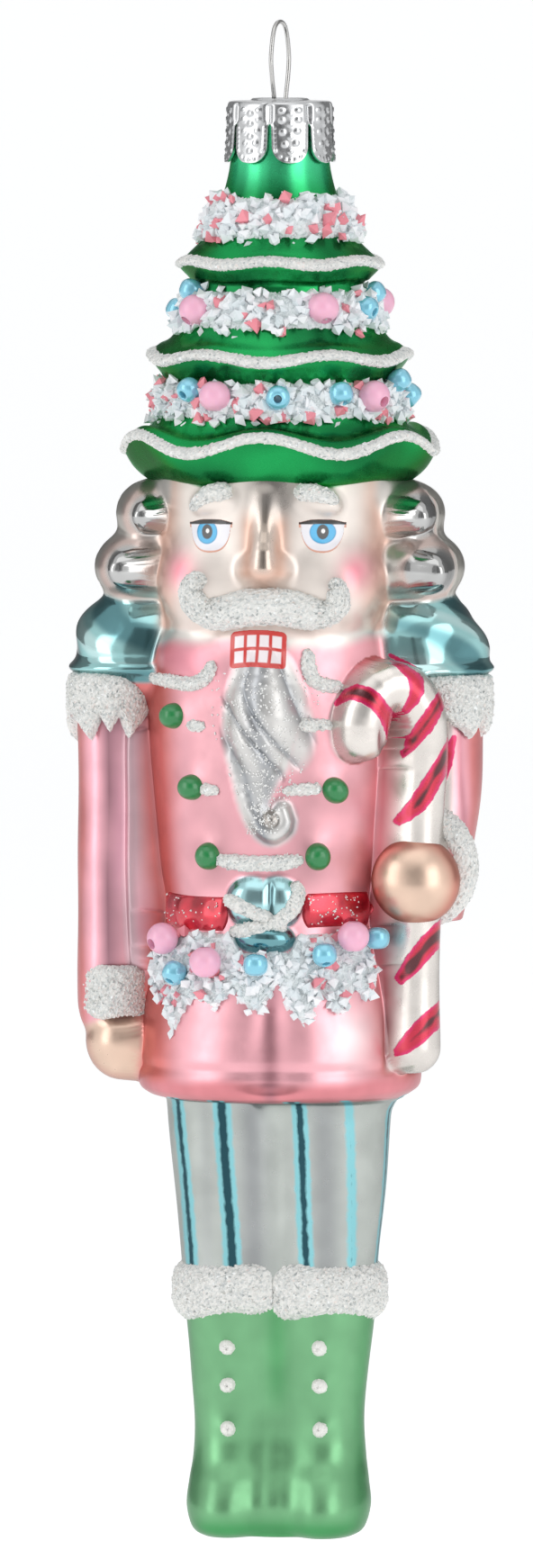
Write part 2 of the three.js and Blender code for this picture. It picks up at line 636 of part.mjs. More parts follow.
// A straight-sided ring over the hat between two heights, with its thickness at the lower and the upper end.
function snowBand(low, high, lowThickness, highThickness) {
  const lowRadius = ringOn(hatRows(), low).w + lowThickness;
  const highRadius = ringOn(hatRows(), high).w + highThickness;
  const edge = SNOW_EDGE;
  const rows = [
    hatRow(low, 0),
    hatRow(low, lowRadius - edge),
    hatRow(low + edge, lowRadius),
    hatRow((low + high) / 2, (lowRadius + highRadius) / 2 + SNOW_BULGE),
    hatRow(high - edge, highRadius),
    hatRow(high, highRadius - edge),
    hatRow(high, 0),
  ];
  const ringAt = (z) => hatRow(z, THREE.MathUtils.mapLinear(z, low, high, lowRadius, highRadius));
  return { low, rows, ringAt };
}

const snow = {
  low: snowBand(LOW_TIER + TIER_TO_STEP.low - 0.1, MIDDLE_TIER - 2.9, 0.9, 1.9),
  middle: snowBand(MIDDLE_TIER + TIER_TO_STEP.middle - 0.5, TOP_TIER - 2.9, 0.75, 1.2),
  top: snowBand(TOP_TIER + TIER_TO_STEP.top - 0.5, NECK_FOOT - 0.1, 0.8, 1.3),
};

const hatBeads = {
  low: named("low", snow.low.low, [
    ["blue", -38, 4.1, 30],
    ["pink", -23, 3.4, 90],
    ["blue", 6, 3.3, 8],
    ["blue", 35, 3.7, 60],
    ["pink", 53, 3.3, 20],
    ["blue", 76, 5.1, 60],
    ["blue", 94, 3.1, 40],
  ]),
  middle: named("middle", snow.middle.low, [
    ["blue", -64, 5.7, 70],
    ["blue", -86, 3.1, 60],
    ["pink", -49, 3.3, 45],
    ["pink", 32, 3.7, 60],
    ["blue", 66, 3.5, 20],
    ["blue", 88, 5.3, 60],
    ["pink", 106, 4, 60],
  ]),
  top: [],
};

for (const level of ["low", "middle", "top"]) {
  snowWithBeads(`hat_snow_${level}`, snow[level].rows, hatBeads[level], snow[level].ringAt);
  placeBeads(hatBeads[level], snow[level].ringAt);
}

// The glitter line on each tier's scalloped edge.
const tierEdges = {
  low: [LOW_TIER, BRIM_RADIUS],
  middle: [MIDDLE_TIER, MIDDLE_TIER_RADIUS],
  top: [TOP_TIER, TOP_TIER_RADIUS],
};
for (const [level, [height, radius]] of Object.entries(tierEdges)) {
  const z = height + 0.2;
  const at = (up, w) => hatRow(z + up, w, SCALLOP[level]);
  const rows = [
    at(-LINE_HALF_HEIGHT, 0),
    at(-LINE_HALF_HEIGHT, radius + LINE_THICKNESS * 0.6),
    at(0, radius + LINE_THICKNESS),
    at(LINE_HALF_HEIGHT, radius + LINE_THICKNESS * 0.5),
    at(LINE_HALF_HEIGHT, 0),
  ];
  rows[0].scallop = 0;
  rows[rows.length - 1].scallop = 0;
  const line = loft(rows, HAT_SIDES);
  place(`hat_line_${level}`, trim(solidOf(line)), finish.snow);
}

// Brows and moustache, thick glitter on the moulded face.
const BROW_RADII = [3.1, 2.4, 1.1];
const MOUSTACHE_RADII = [4.8, 2.6, 2.2];
const MOUSTACHE_TIP_RADII = [2.6, 2, 2];
for (const side of [-1, 1]) {
  const name = side < 0 ? "brow_left" : "brow_right";
  const centre = [side * (HEAD_HALF_WIDTH - 8.5), 2 - HEAD_FRONT, HAT_BRIM - 1.6];
  place(name, trim(ball(centre, BROW_RADII, 0, [0, side * 14, side * 22], 8)), finish.snow);
}
const moustacheHalves = [-1, 1].map((side) => {
  const lobe = [side * (HEAD_HALF_WIDTH - 12), 0.6 - HEAD_FRONT, SHOULDER_HEIGHT - 2.7];
  const tip = [side * (HEAD_HALF_WIDTH - 7.2), 2 - HEAD_FRONT, SHOULDER_HEIGHT - 0.5];
  return joined([
    ball(lobe, MOUSTACHE_RADII, 0, [0, side * -14, side * 14], 8),
    ball(tip, MOUSTACHE_TIP_RADII, 0, [0, side * -50, side * 30], 8),
  ]);
});
place("moustache", trim(joined(moustacheHalves)), finish.snow);

// Fur bands round the arms and the boots.
function furRows(z0, z1, w, f, x) {
  return [
    row(z0, 0, 0, 0, x),
    row(z0, w - 0.9, f - 0.9, f - 1.4, x),
    row(z0 + 1.6, w, f, f - 0.5, x),
    row(z1 - 1.6, w + 0.1, f + 0.1, f - 0.4, x),
    row(z1, w - 0.6, f - 0.6, f - 1.1, x),
    row(z1, 0, 0, 0, x),
  ];
}

const SHOULDER_FUR = [SHOULDER_HEIGHT - 18.9, SHOULDER_HEIGHT - 10.3];
const CUFF_FUR = [SLEEVE_LOW + 1.9, SLEEVE_LOW + 9.1];
const BOOT_FUR = [BOOT_TO_SHIN - 9, BOOT_TO_SHIN - 1.2];
const shoulderFur = [ARM_HALF_WIDTH + FUR_THICKNESS + 0.5, ARM_FRONT + FUR_THICKNESS + 0.3];
const cuffFur = [ARM_HALF_WIDTH + FUR_THICKNESS - 0.6, ARM_FRONT + FUR_THICKNESS - 0.3];
const fur = {
  shoulder_fur_left: furRows(...SHOULDER_FUR, ...shoulderFur, -ARM_OUT),
  shoulder_fur_right: furRows(...SHOULDER_FUR, ...shoulderFur, ARM_OUT),
  cuff_fur_left: furRows(...CUFF_FUR, ...cuffFur, 0.4 - ARM_OUT),
};
for (const [name, rows] of Object.entries(fur)) place(name, trim(solidOf(loft(rows, LIMB_SIDES))), finish.snow);

const CUFF_TURN_DEG = -16;
const cuffRing = new THREE.TorusGeometry(FOREARM_RADII[0] - 0.1, FUR_THICKNESS + 0.6, 6, 14);
cuffRing.rotateX(Math.PI / 2);
cuffRing.scale(1, 1.1, 1.12);
cuffRing.rotateZ(rad(CUFF_TURN_DEG));
cuffRing.translate(ARM_OUT - 0.5, 1.4 - ARM_FRONT, ELBOW_LOW + 6.7);
place("cuff_fur_right", trim(solidOf(cuffRing)), finish.snow);

const FUR_MIDDLE_GAP = 0.15;
const bootFur = [ANKLE_HALF_WIDTH + 1 + FUR_THICKNESS, ANKLE_FRONT + 1.5 + FUR_THICKNESS];
for (const side of [-1, 1]) {
  const name = side < 0 ? "boot_fur_left" : "boot_fur_right";
  const band = solidOf(loft(furRows(...BOOT_FUR, ...bootFur, side * LEG_OUT), LIMB_SIDES));
  const cut = 4 * LEG_OUT;
  const half = new THREE.BoxGeometry(cut, cut, cut);
  half.translate(side * (cut / 2 + FUR_MIDDLE_GAP), 0, (BOOT_FUR[0] + BOOT_FUR[1]) / 2);
  place(name, trim(band.intersect(solidOf(half))), finish.snow);
}

// Two crossed strokes of glitter over the bow on the belt.
const STROKE_RADII = [5.6, 1.9, 1.2];
const STROKE_TILT_DEG = 38;
function buckleStrokes(grow) {
  const stroke = (tilt) => ball([RELIEF_X, -1 - WAIST_FRONT, BELT_MIDDLE], STROKE_RADII, grow, [0, tilt, 0], 8);
  return stroke(-STROKE_TILT_DEG).add(stroke(STROKE_TILT_DEG));
}

place("buckle_glitter", trim(buckleStrokes(0)), finish.snow);

// The fringe under the belt, with icicles along its lower edge.
const FRINGE = { length: 9.7, gap: 0.2, thickness: 1.6, icicles: 14, drop: 2.2 };
function fringeRows() {
  const t = FRINGE.thickness;
  const high = BELT_LOW - FRINGE.gap;
  const low = high - FRINGE.length;
  const at = (z, extra, scallop) => {
    const coat = ringOn(coatRows(), z);
    return row(z, coat.w + extra, coat.f + extra, coat.b + extra, 0, 0, scallop);
  };
  return [
    row(low, 0),
    at(low, t * 0.5, FRINGE.drop),
    at(low + 0.25 * FRINGE.length, t, FRINGE.drop * 0.5),
    at(high - 0.15 * FRINGE.length, t, 0),
    at(high, t * 0.5, 0),
    row(high, 0),
  ];
}

const fringeBeads = named("belt", BELT_LOW, [
  ["pink", -47, -1.3, 20],
  ["blue", -40, -5.5, 50],
  ["pink", -23.5, -4.3, 90],
  ["blue", -2, -4.5, 90],
  ["blue", 26, -3.5, 60],
  ["pink", 38.5, -1.5, 90],
  ["blue", 51, -1.7, 90],
]);
const beadSeat = 1.1 + FRINGE.thickness;
const beadRing = row(0, WAIST_HALF_WIDTH + beadSeat, WAIST_FRONT + beadSeat - 0.6, WAIST_BACK + beadSeat - 0.3);
const fringeRing = () => beadRing;
let fringe = solidOf(loft(fringeRows(), FRINGE_SIDES, FRINGE.icicles));
for (const bead of fringeBeads) fringe = fringe.subtract(socketAt(bead, beadRing));
const cuffSpace = solidOf(loft(grownRows(fur.cuff_fur_left, GLUE_GAP), LIMB_SIDES));
place("belt_fringe", trim(fringe.subtract(cuffSpace).subtract(buckleStrokes(GLUE_GAP))), finish.snow);
placeBeads(fringeBeads, fringeRing);

// A point on the front of a lofted body at a side position and a height, lifted a little off it.
function onFront(rows, x, z, lift = 0) {
  const ring = ringOn(rows, z);
  const across = (x - ring.x) / ring.w;
  return [x, ring.y - ring.f * Math.sqrt(Math.max(0, 1 - across ** 2)) - lift, z];
}

// Heights of the coat's three rows of buttons
const BUTTON_ROW_TOP = SHOULDER_HEIGHT - 15.8;
const BUTTON_ROW_MIDDLE = BELT_HIGH + 13.2;
const BUTTON_ROW_LOW = BELT_HIGH + 4.8;

// Glitter piping on the coat's front. Each line follows the chest between points of side and height.
const PIPING_LIFT = 0.15;
const yoke = SHOULDER_HEIGHT - 12.1;
const piping = {
  piping_shoulder_left: [[-13.4, yoke + 1], [-9.4, yoke], [-6.6, yoke + 1]],
  piping_shoulder_right: [[5.9, yoke + 4.6], [6.4, yoke + 0.4], [8.2, yoke - 0.2]],
  piping_row_1_left: [[-9.3, BUTTON_ROW_TOP - 1.5], [-7.5, BUTTON_ROW_TOP - 1.5]],
  piping_row_1_right: [[5, BUTTON_ROW_TOP - 1.1], [9, BUTTON_ROW_TOP - 1.1]],
  piping_row_2_left: [[-7, BUTTON_ROW_MIDDLE - 0.1], [-5.2, BUTTON_ROW_MIDDLE - 0.1]],
  piping_row_2_right: [[2.8, BUTTON_ROW_MIDDLE - 0.1], [6.5, BUTTON_ROW_MIDDLE - 0.1]],
  piping_row_3: [[-4.8, BUTTON_ROW_LOW - 0.7], [0, BUTTON_ROW_LOW - 1], [4.3, BUTTON_ROW_LOW - 0.7]],
};
for (const [name, points] of Object.entries(piping)) {
  const line = points.map(([x, z]) => onFront(coatRows(), x, z, PIPING_LIFT));
  place(name, trim(bar(line, PIPING_RADIUS, 4, 6)), finish.snow);
}

// Enamel drops: green on the coat, white on the boots.
const coatButtons = [
  [-11.6, BUTTON_ROW_TOP],
  [-9.4, BUTTON_ROW_MIDDLE + 0.1],
  [8.8, BUTTON_ROW_MIDDLE - 0.1],
  [-7.1, BUTTON_ROW_LOW],
  [6.6, BUTTON_ROW_LOW],
];
coatButtons.forEach(([x, z], i) => {
  const r = COAT_BUTTON_RADIUS;
  const drop = ball(onFront(coatRows(), x, z), [r, r, r], 0, [90, 0, 0], 8);
  place(`coat_button_${i + 1}`, trim(drop), finish.greenEnamel);
});

const BOOT_BUTTON_SHARES = [0.664, 0.53, 0.378];
for (const side of [-1, 1]) {
  BOOT_BUTTON_SHARES.forEach((share, i) => {
    const r = BOOT_BUTTON_RADIUS;
    const name = `boot_button_${side < 0 ? "left" : "right"}_${i + 1}`;
    const centre = onFront(legRows(side), side * (LEG_OUT - 0.7), share * BOOT_TO_SHIN);
    place(name, trim(ball(centre, [r, r, r], 0, [90, 0, 0], 6)), finish.whiteEnamel);
  });
}

figurine.position.z = -hangingHeight;

export default ornament;
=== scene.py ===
import bpy
import numpy as np
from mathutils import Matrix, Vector


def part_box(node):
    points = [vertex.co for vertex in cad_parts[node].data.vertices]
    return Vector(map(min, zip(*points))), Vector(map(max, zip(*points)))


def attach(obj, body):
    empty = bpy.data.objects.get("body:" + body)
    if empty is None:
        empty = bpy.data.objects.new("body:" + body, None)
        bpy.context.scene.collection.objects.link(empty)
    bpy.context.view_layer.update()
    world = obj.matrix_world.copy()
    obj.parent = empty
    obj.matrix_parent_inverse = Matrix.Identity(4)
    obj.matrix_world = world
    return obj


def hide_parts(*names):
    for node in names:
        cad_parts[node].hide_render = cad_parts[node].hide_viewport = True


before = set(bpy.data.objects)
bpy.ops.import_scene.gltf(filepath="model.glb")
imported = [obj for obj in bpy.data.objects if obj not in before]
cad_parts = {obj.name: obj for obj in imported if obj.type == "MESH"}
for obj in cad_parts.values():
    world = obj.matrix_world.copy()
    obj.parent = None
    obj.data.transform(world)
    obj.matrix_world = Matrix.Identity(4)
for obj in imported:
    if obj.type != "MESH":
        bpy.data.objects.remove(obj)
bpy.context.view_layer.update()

# The glass figure. One shell is blown in a two-part mould, so arms, wig, cane and skirt flow into each other.
# It is silvered inside and lacquered outside. Every level of it is one outline round the upright axis.
MM = 0.001
SOLE_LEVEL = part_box("glass_body")[0][2]
COLUMNS = 620
LEVEL_STEP = 1.0
FRONT_DENSITY = 0.36
FAR = 99.0


def step(low, high, value):
    """Smooth step: 0 below low, 1 above high, and 3t^2 - 2t^3 between, with t the share of the way."""
    t = np.clip((value - low) / (high - low), 0, 1)
    return t * t * (3 - 2 * t)


def hump(value, centre, width):
    """Bell: exp(-((value - centre) / width)^2)."""
    return np.exp(-(((value - centre) / width) ** 2))


def smooth_curve(keys, count):
    """Points on a cubic through keys (rows of any width), each span leaving at half its neighbours' chord."""
    keys = np.asarray(keys, float)
    slope = np.gradient(keys, axis=0)
    at = np.linspace(0, len(keys) - 1, count)
    i = np.minimum(at.astype(int), len(keys) - 2)
    t = (at - i)[:, None]
    shares = 2 * t**3 - 3 * t**2 + 1, t**3 - 2 * t**2 + t, 3 * t**2 - 2 * t**3, t**3 - t**2
    return sum(share * end for share, end in zip(shares, (keys[i], slope[i], keys[i + 1], slope[i + 1])))


def merge(a, b, blend):
    """Smooth union of two distances: min(a, b) rounded off over the blend length."""
    h = np.clip(0.5 + 0.5 * (b - a) / blend, 0, 1)
    return b + (a - b) * h - blend * h * (1 - h)


def oval_gap(*pairs):
    """Distance to an oval, from pairs of a coordinate and its half axis: with q the point over the half axes
    and g the point over their squares, |q| (|q| - 1) / |g|."""
    k = np.sqrt(sum((x / r) ** 2 for x, r in pairs))
    g = np.sqrt(sum((x / r**2) ** 2 for x, r in pairs)) + 1e-9
    return k * (k - 1) / g


def oval(centre, radii, lean=0.0, swing=0.0):
    """Distance to an oval ball. lean turns it in the picture plane and swing round the upright."""
    c, r = np.asarray(centre, float), np.asarray(radii, float)
    ca, sa = np.cos(np.radians(lean)), np.sin(np.radians(lean))
    cb, sb = np.cos(np.radians(swing)), np.sin(np.radians(swing))

    def distance(x, y, z):
        x, y, z = x - c[0], y - c[1], z - c[2]
        x, y = cb * x + sb * y, cb * y - sb * x
        x, z = ca * x + sa * z, ca * z - sa * x
        return oval_gap((x, r[0]), (y, r[1]), (z, r[2]))

    reach = float(r.max())
    return distance, c[2] - reach, c[2] + reach, c[0], c[1], reach


def stack(rows, side=1):
    """Distance to a body of oval levels. Each row is height, half width, front, back, middle x and middle y,
    and the rows are joined by a smooth curve."""
    full = [tuple(r) + (0.0,) * (6 - len(r)) for r in rows]
    line = smooth_curve(full, 24 * len(full))
    z0, z1 = line[0, 0], line[-1, 0]
    slope = np.gradient(line[:, 1], line[:, 0] + np.linspace(0, 1e-6, len(line)))
    tilt = 1 / np.sqrt(1 + np.clip(slope, -3, 3) ** 2)

    def distance(x, y, z):
        w, f, b, cx, cy, lean = (np.interp(z, line[:, 0], v) for v in (*line[:, 1:].T, tilt))
        x, y = x - side * cx, y - cy
        gap = oval_gap((x, w), (y, np.where(y < 0, f, b)))
        return np.maximum(gap * lean, np.maximum(z0 - z, z - z1))

    widest = max(r[1] for r in rows)
    return distance, z0, z1, side * full[1][4], full[1][5], max(widest, max(r[2] for r in rows))


def line_gap(line, *place):
    """Distance to a line of cones with round ends. Each row of line is a point and its radius."""
    best = FAR
    for a, b in zip(line[:-1], line[1:]):
        d = b[:-1] - a[:-1]
        t = np.clip(sum((p - q) * e for p, q, e in zip(place, a, d)) / (d @ d), 0, 1)
        apart = np.sqrt(sum((p - q - t * e) ** 2 for p, q, e in zip(place, a, d)))
        best = np.minimum(best, apart - (a[-1] + t * (b[-1] - a[-1])))
    return best


def tube(keys, count=18):
    """Distance to a smooth bar. Keys are x, y, z and radius."""
    line = smooth_curve(keys, count)

    def distance(x, y, z):
        return line_gap(line, x, y, z)

    low = float((line[:, 2] - line[:, 3]).min())
    high = float((line[:, 2] + line[:, 3]).max())
    middle = (line[:, :2].min(0) + line[:, :2].max(0)) / 2
    reach = float(np.hypot(*(line[:, :2] - middle).T).max() + line[:, 3].max())
    return distance, low, high, middle[0], middle[1], reach


coat = stack([
    (55.2, 15.2, 15.6, 13.8), (55.7, 16.6, 16.8, 15.0), (57.0, 17.7, 17.7, 15.8), (60.7, 17.6, 17.8, 15.8),
    (67.7, 16.8, 17.2, 15.2), (73.3, 15.5, 16.5, 14.6), (76.3, 14.7, 16.1, 14.2), (80.4, 14.5, 16.0, 14.0),
    (84.9, 15.2, 16.3, 14.3), (94.4, 16.3, 16.9, 14.8), (104.4, 16.9, 17.0, 15.0), (111.5, 16.4, 16.4, 14.8),
    (115.0, 14.7, 14.6, 13.4), (118.0, 10.9, 11.0, 10.4),
])
LEG_ROWS = [
    (0.0, 3.4, 5.8, 4.4, 6.0, -1.5), (0.5, 4.4, 7.1, 5.3, 6.0, -1.4), (1.6, 5.0, 8.2, 5.9, 6.1, -1.2),
    (4.0, 5.4, 8.8, 6.2, 6.2, -0.8), (7.0, 5.3, 7.9, 5.7, 6.0, -0.4), (10.0, 5.1, 6.4, 5.2, 5.8),
    (14.7, 5.0, 5.8, 5.1, 5.7), (21.0, 5.4, 6.3, 5.6, 5.8), (26.8, 5.8, 6.9, 6.2, 6.0),
    (30.5, 6.0, 7.2, 6.5, 6.1), (36.0, 6.2, 7.6, 6.8, 6.3), (46.0, 6.8, 8.6, 7.8, 6.7),
    (56.8, 7.3, 9.6, 8.8, 7.0), (60.0, 7.2, 9.5, 8.7, 7.0),
]
legs = [stack(LEG_ROWS, side) for side in (-1, 1)]
leg_web = stack([
    (0.0, 3.0, 5.0, 3.8), (1.6, 3.4, 7.2, 4.8), (4.5, 3.6, 7.9, 5.2), (9.0, 3.6, 6.1, 4.7),
    (14.7, 3.6, 5.0, 4.4), (21.0, 3.0, 5.5, 4.8), (27.0, 3.2, 6.2, 5.4), (36.0, 3.4, 7.0, 6.0),
    (46.0, 3.6, 7.9, 6.8), (58.0, 3.8, 9.0, 7.8),
])
head = stack([
    (108.6, 9.4, 13.4, 10.0), (110.0, 11.6, 14.6, 11.5), (113.0, 13.4, 15.2, 12.5),
    (118.0, 15.1, 15.6, 14.2), (124.0, 15.4, 15.6, 15.0), (130.0, 15.6, 15.4, 15.0),
    (133.0, 15.2, 14.8, 14.6), (135.4, 14.6, 14.2, 14.2),
])
ARM_MIDDLE = 21.4


def sleeve(side, low):
    """The sleeve from its low end to the shoulder, and the coat's fold between it and the chest. The raised
    arm is drawn in a little."""
    bent = 0.9 if side > 0 else 0.0
    arm_rows = [
        (low, 2.6, 3.8, 3.6, ARM_MIDDLE - 0.2 - bent), (low + 2.5, 3.8 - bent, 5.2, 5.0, ARM_MIDDLE - bent),
        (low + 8, 4.1 - bent, 5.8, 5.8, ARM_MIDDLE - 0.5 * bent),
        (92.0, 4.1 - 0.4 * bent, 5.8, 5.8, ARM_MIDDLE),
        (98.5, 4.1, 5.8, 5.8, ARM_MIDDLE), (105.5, 4.1, 5.8, 5.8, ARM_MIDDLE),
        (110.5, 3.6, 5.2, 5.2, ARM_MIDDLE - 0.3),
    ]
    fold_low = max(low, 69.5)
    fold_rows = [
        (fold_low + 1, 1.5, 4.6, 4.0, 17.3), (fold_low + 5, 1.9, 6.2, 5.0, 17.6),
        (98.0, 2.0, 6.6, 5.0, 17.8), (106.0, 1.6, 5.6, 5.0, 17.6),
    ]
    return stack(arm_rows, side), stack(fold_rows, side)


SLEEVE_LOW, ELBOW_LOW = 62.5, 77.2
left_sleeve, left_fold = sleeve(-1, SLEEVE_LOW)
right_sleeve, right_fold = sleeve(1, ELBOW_LOW)
puffs = [oval((s * 17.0, 0, 111.0), (9.0, 8.8, 8.0)) for s in (-1, 1)]
puff_rims = [oval((s * 17.6, 0, 108.9), (9.2, 9.3, 1.7)) for s in (-1, 1)]
hand = oval((-19.6, -0.8, 61.9), (4.8, 5.8, 5.0))
forearm = oval((20.8, -3.4, 83.8), (3.9, 6.6, 5.8))
FIST_MIDDLE, FIST_RADII = (18.3, -9.6, 82.9), (5.55, 5.0, 5.5)
cane = tube([
    (18.0, -7.7, 61.8, 3.2), (18.1, -8.0, 70.0, 3.0), (18.4, -8.7, 82.0, 3.0), (18.7, -8.9, 92.0, 3.1),
    (19.0, -9.2, 99.5, 3.3), (18.8, -10.6, 104.6, 3.2), (16.6, -12.2, 107.4, 3.0), (13.8, -13.6, 106.6, 3.1),
    (12.3, -14.0, 103.4, 3.5), (12.1, -14.0, 101.2, 3.3),
], 26)
BOSSES = [
    (-15.6, -8.2, 128.1, 2.1), (-18.3, -8.6, 121.4, 2.4), (18.0, -7.6, 128.1, 2.3), (20.0, -7.6, 121.3, 2.4),
]
curls = [oval((s * 15.9, 0.4, 128.2), (4.7, 8.4, 4.3)) for s in (-1, 1)]
curls += [oval((s * 17.0, 0.4, 121.5), (6.2, 9.3, 4.9)) for s in (-1, 1)]
bosses = [oval((x, y, z), (r, 1.6, r)) for x, y, z, r in BOSSES]
cheeks = [oval((s * 8.2, -9.6, 119.6), (5.6, 5.8, 6.0)) for s in (-1, 1)]
chin = oval((-0.2, -11.9, 111.6), (5.4, 4.2, 4.2))
nose = tube([
    (0.1, -14.2, 130.4, 1.1), (0.1, -15.4, 126.8, 1.25), (0.1, -16.5, 124.0, 1.6), (0.1, -16.8, 122.1, 1.85),
], 8)
nostrils = [oval((0.1 + s * 1.6, -15.4, 121.7), (1.6, 1.5, 1.6)) for s in (-1, 1)]
brow_ridges = [oval((s * 6.6, -13.6, 130.2), (2.9, 1.9, 1.4), lean=-s * 14) for s in (-1, 1)]
beard = tube([
    (0.1, -15.0, 108.4, 3.6), (0.3, -15.2, 104.4, 4.7), (-0.2, -15.6, 100.4, 4.1), (-0.8, -15.8, 96.6, 2.6),
    (-1.1, -16.2, 93.2, 1.5), (-0.3, -16.7, 90.3, 1.1), (1.3, -16.9, 89.1, 1.1), (2.8, -16.9, 90.2, 1.0),
    (2.5, -16.9, 91.9, 0.8),
], 22)
beard_side = oval((3.0, -14.6, 102.3), (2.8, 2.9, 5.6), lean=8)
beard_curl = oval((1.2, -16.4, 90.7), (1.2, 1.7, 1.2))
collar = oval((-8.6, -11.3, 109.9), (5.6, 2.6, 2.9), lean=-8, swing=-37)
bow = [oval((s * 1.5 + 0.1, -15.7, 80.4), (3.1, 2.0, 3.1), lean=s * 20) for s in (-1, 1)]
bow.append(oval((0.1, -15.9, 76.0), (3.6, 2.1, 1.8), lean=-3))

glass_shapes = [(coat, 0.1), (legs[0], 1.0), (legs[1], 2.6), (leg_web, 3.2), (head, 1.6)]
glass_shapes += [(s, 1.2) for s in (left_fold, right_fold, left_sleeve, right_sleeve)]
glass_shapes += [(s, 1.5) for s in puffs] + [(s, 0.9) for s in puff_rims + [hand, forearm]]
glass_shapes += [(cane, 1.2)] + [(s, 1.9) for s in curls] + [(s, 0.5) for s in bosses]
glass_shapes += [(s, 2.4) for s in cheeks] + [(chin, 2.0), (nose, 1.5)] + [(s, 1.5) for s in nostrils]
glass_shapes += [(s, 1.4) for s in brow_ridges] + [(beard, 0.9), (beard_side, 1.4), (beard_curl, 0.5)]
glass_shapes += [(collar, 2.4)] + [(s, 0.9) for s in bow]


def full_turn(count, start=0.0):
    """Angles evenly spaced over one turn."""
    return np.linspace(start, start + 2 * np.pi, count, endpoint=False)


def stretch(low, high, gap):
    """Heights from low to just under high, about one gap apart."""
    return np.linspace(low, high, max(2, int(round((high - low) / (gap * LEVEL_STEP)))), endpoint=False)


levels = np.concatenate([
    stretch(0, 2.2, 0.14), stretch(2.2, 30.9, 0.36), stretch(30.9, 54.6, 0.5), stretch(54.6, 59, 0.11),
    stretch(59, 73.6, 0.26), stretch(73.6, 108.2, 0.2), stretch(108.2, 133, 0.19), stretch(133, 135.2, 0.3),
])
turn = full_turn(COLUMNS) - np.pi
around = turn - FRONT_DENSITY * np.sin(turn)


START_RADIUS, MARCHES, STRIDE, MARGIN = 29.0, 44, 0.82, 2.5


def trace_glass():
    """Radius of the shell for each level and direction: a point comes in from outside along its ray by the
    blended distance of all shapes until that distance is nil."""
    z = np.repeat(levels, COLUMNS)
    a = np.tile(around, len(levels))
    sin, cos = np.sin(a), -np.cos(a)
    radius = np.full(z.shape, START_RADIUS)
    near = []
    for (distance, low, high, cx, cy, reach), blend in glass_shapes:
        in_reach = (z > low - MARGIN) & (z < high + MARGIN)
        centre = np.hypot(cx, cy)
        if centre > reach + 0.5:
            spread = np.arcsin(min(1.0, (reach + 1.5) / centre)) + 0.1
            off = np.abs((a - np.arctan2(cx, -cy) + np.pi) % (2 * np.pi) - np.pi)
            in_reach &= off < spread
        near.append((distance, np.flatnonzero(in_reach), blend))
    for _ in range(MARCHES):
        x, y = radius * sin, radius * cos
        field = np.full(z.shape, FAR)
        for distance, rays, blend in near:
            field[rays] = merge(field[rays], distance(x[rays], y[rays], z[rays]), blend)
        radius = np.maximum(radius - STRIDE * field, 1.0)
    return radius.reshape(len(levels), COLUMNS)


radius = trace_glass()
sin_around, cos_around = np.sin(around)[None, :], -np.cos(around)[None, :]
level = levels[:, None]


def softened(field, rounds):
    """Each value averaged with its four neighbours, round after round."""
    for _ in range(rounds):
        sides = (np.roll(field, 1, 1) + np.roll(field, -1, 1)) / 2
        ends = np.vstack([field[:1], (field[:-2] + field[2:]) / 2, field[-1:]])
        field = 0.5 * field + 0.25 * (sides + ends)
    return field


radius = softened(radius, 2)
x_now, y_now = radius * sin_around, radius * cos_around
front = step(0, -4, y_now)


def nearness(shape, fade=0.55):
    """1 where the shell is this shape's own surface, falling to 0 at the fade distance from it."""
    return 1 - step(0.1, fade, shape[0](x_now, y_now, np.broadcast_to(level, x_now.shape)))


def bumps(points, size, rise):
    """Sum of round bells of one size at points of side and height."""
    return sum(rise * hump(x_now, x, size) * hump(level, z, size) for x, z in points)


def streak(x, width, low, full_low, full_high, high):
    """An upright streak on the front at side x, which fades in and out between four heights."""
    return front * hump(x_now, x, width) * step(low, full_low, level) * step(high, full_high, level)


COAT_BUTTONS = [(-11.85, 103.4), (-9.3, 94.6), (8.9, 94.35), (-7.1, 86.05), (6.8, 86.1)]
BOOT_BUTTON_SIDE, BOOT_BUTTON_LEVELS = 5.8, (23.9, 19.1, 13.6)
# Moulded relief finer than the large shapes: the skirt's opening, strands of wig and beard, button seats.
on_beard = np.maximum(nearness(beard, 1.2), nearness(beard_side, 1.2))
on_hair = np.maximum.reduce([nearness(s, 1.0) for s in curls + bosses])
side_of_head = step(-3.0, 0.5, y_now) * step(117, 120, level)
on_head = nearness(head, 0.9) * step(109, 111, level)
part = 0.5 + 0.9 * np.sin((level - 90) * 0.32)
opening = front * hump(x_now, 0.9, 3.6 - 1.6 * step(57, 70, level))
relief = -1.15 * opening * step(73, 66, level) * step(55.5, 58, level)
relief += -0.22 * hump(level, 59.3, 0.7) * nearness(coat)
lock = 0.8 * (x_now - part) + 0.42 * level + 0.7 * np.sin(0.5 * level + 0.5 * x_now)
groove = (1 - np.abs(np.sin(lock))) ** 1.5
relief += on_beard * (0.15 - 0.55 * groove) * step(90.5, 93, level)
relief += -0.45 * streak(0.9, 0.55, 77.5, 78.5, 82, 84)
boss_gap = np.minimum.reduce([np.hypot(x_now - x, level - z) - r for x, _, z, r in BOSSES])
boss_gap = boss_gap + 50 * step(-3, 0, y_now)
boss_relief = 0.07 * np.sin(2.4 * boss_gap) - 0.35 * hump(boss_gap, 0.4, 0.6)
relief += on_hair * (boss_relief + 0.7 * step(0.2, -1.6, boss_gap))
on_puffs = np.maximum.reduce([nearness(s, 0.8) for s in puffs + puff_rims])
swirl = np.sin(13 * around + 0.4 * level + 1.1 * np.sin(0.55 * level))
swirl = swirl + 0.6 * np.sin(0.9 * level + 9 * around)
relief += on_puffs * 0.24 * swirl * step(107.6, 109.2, level)
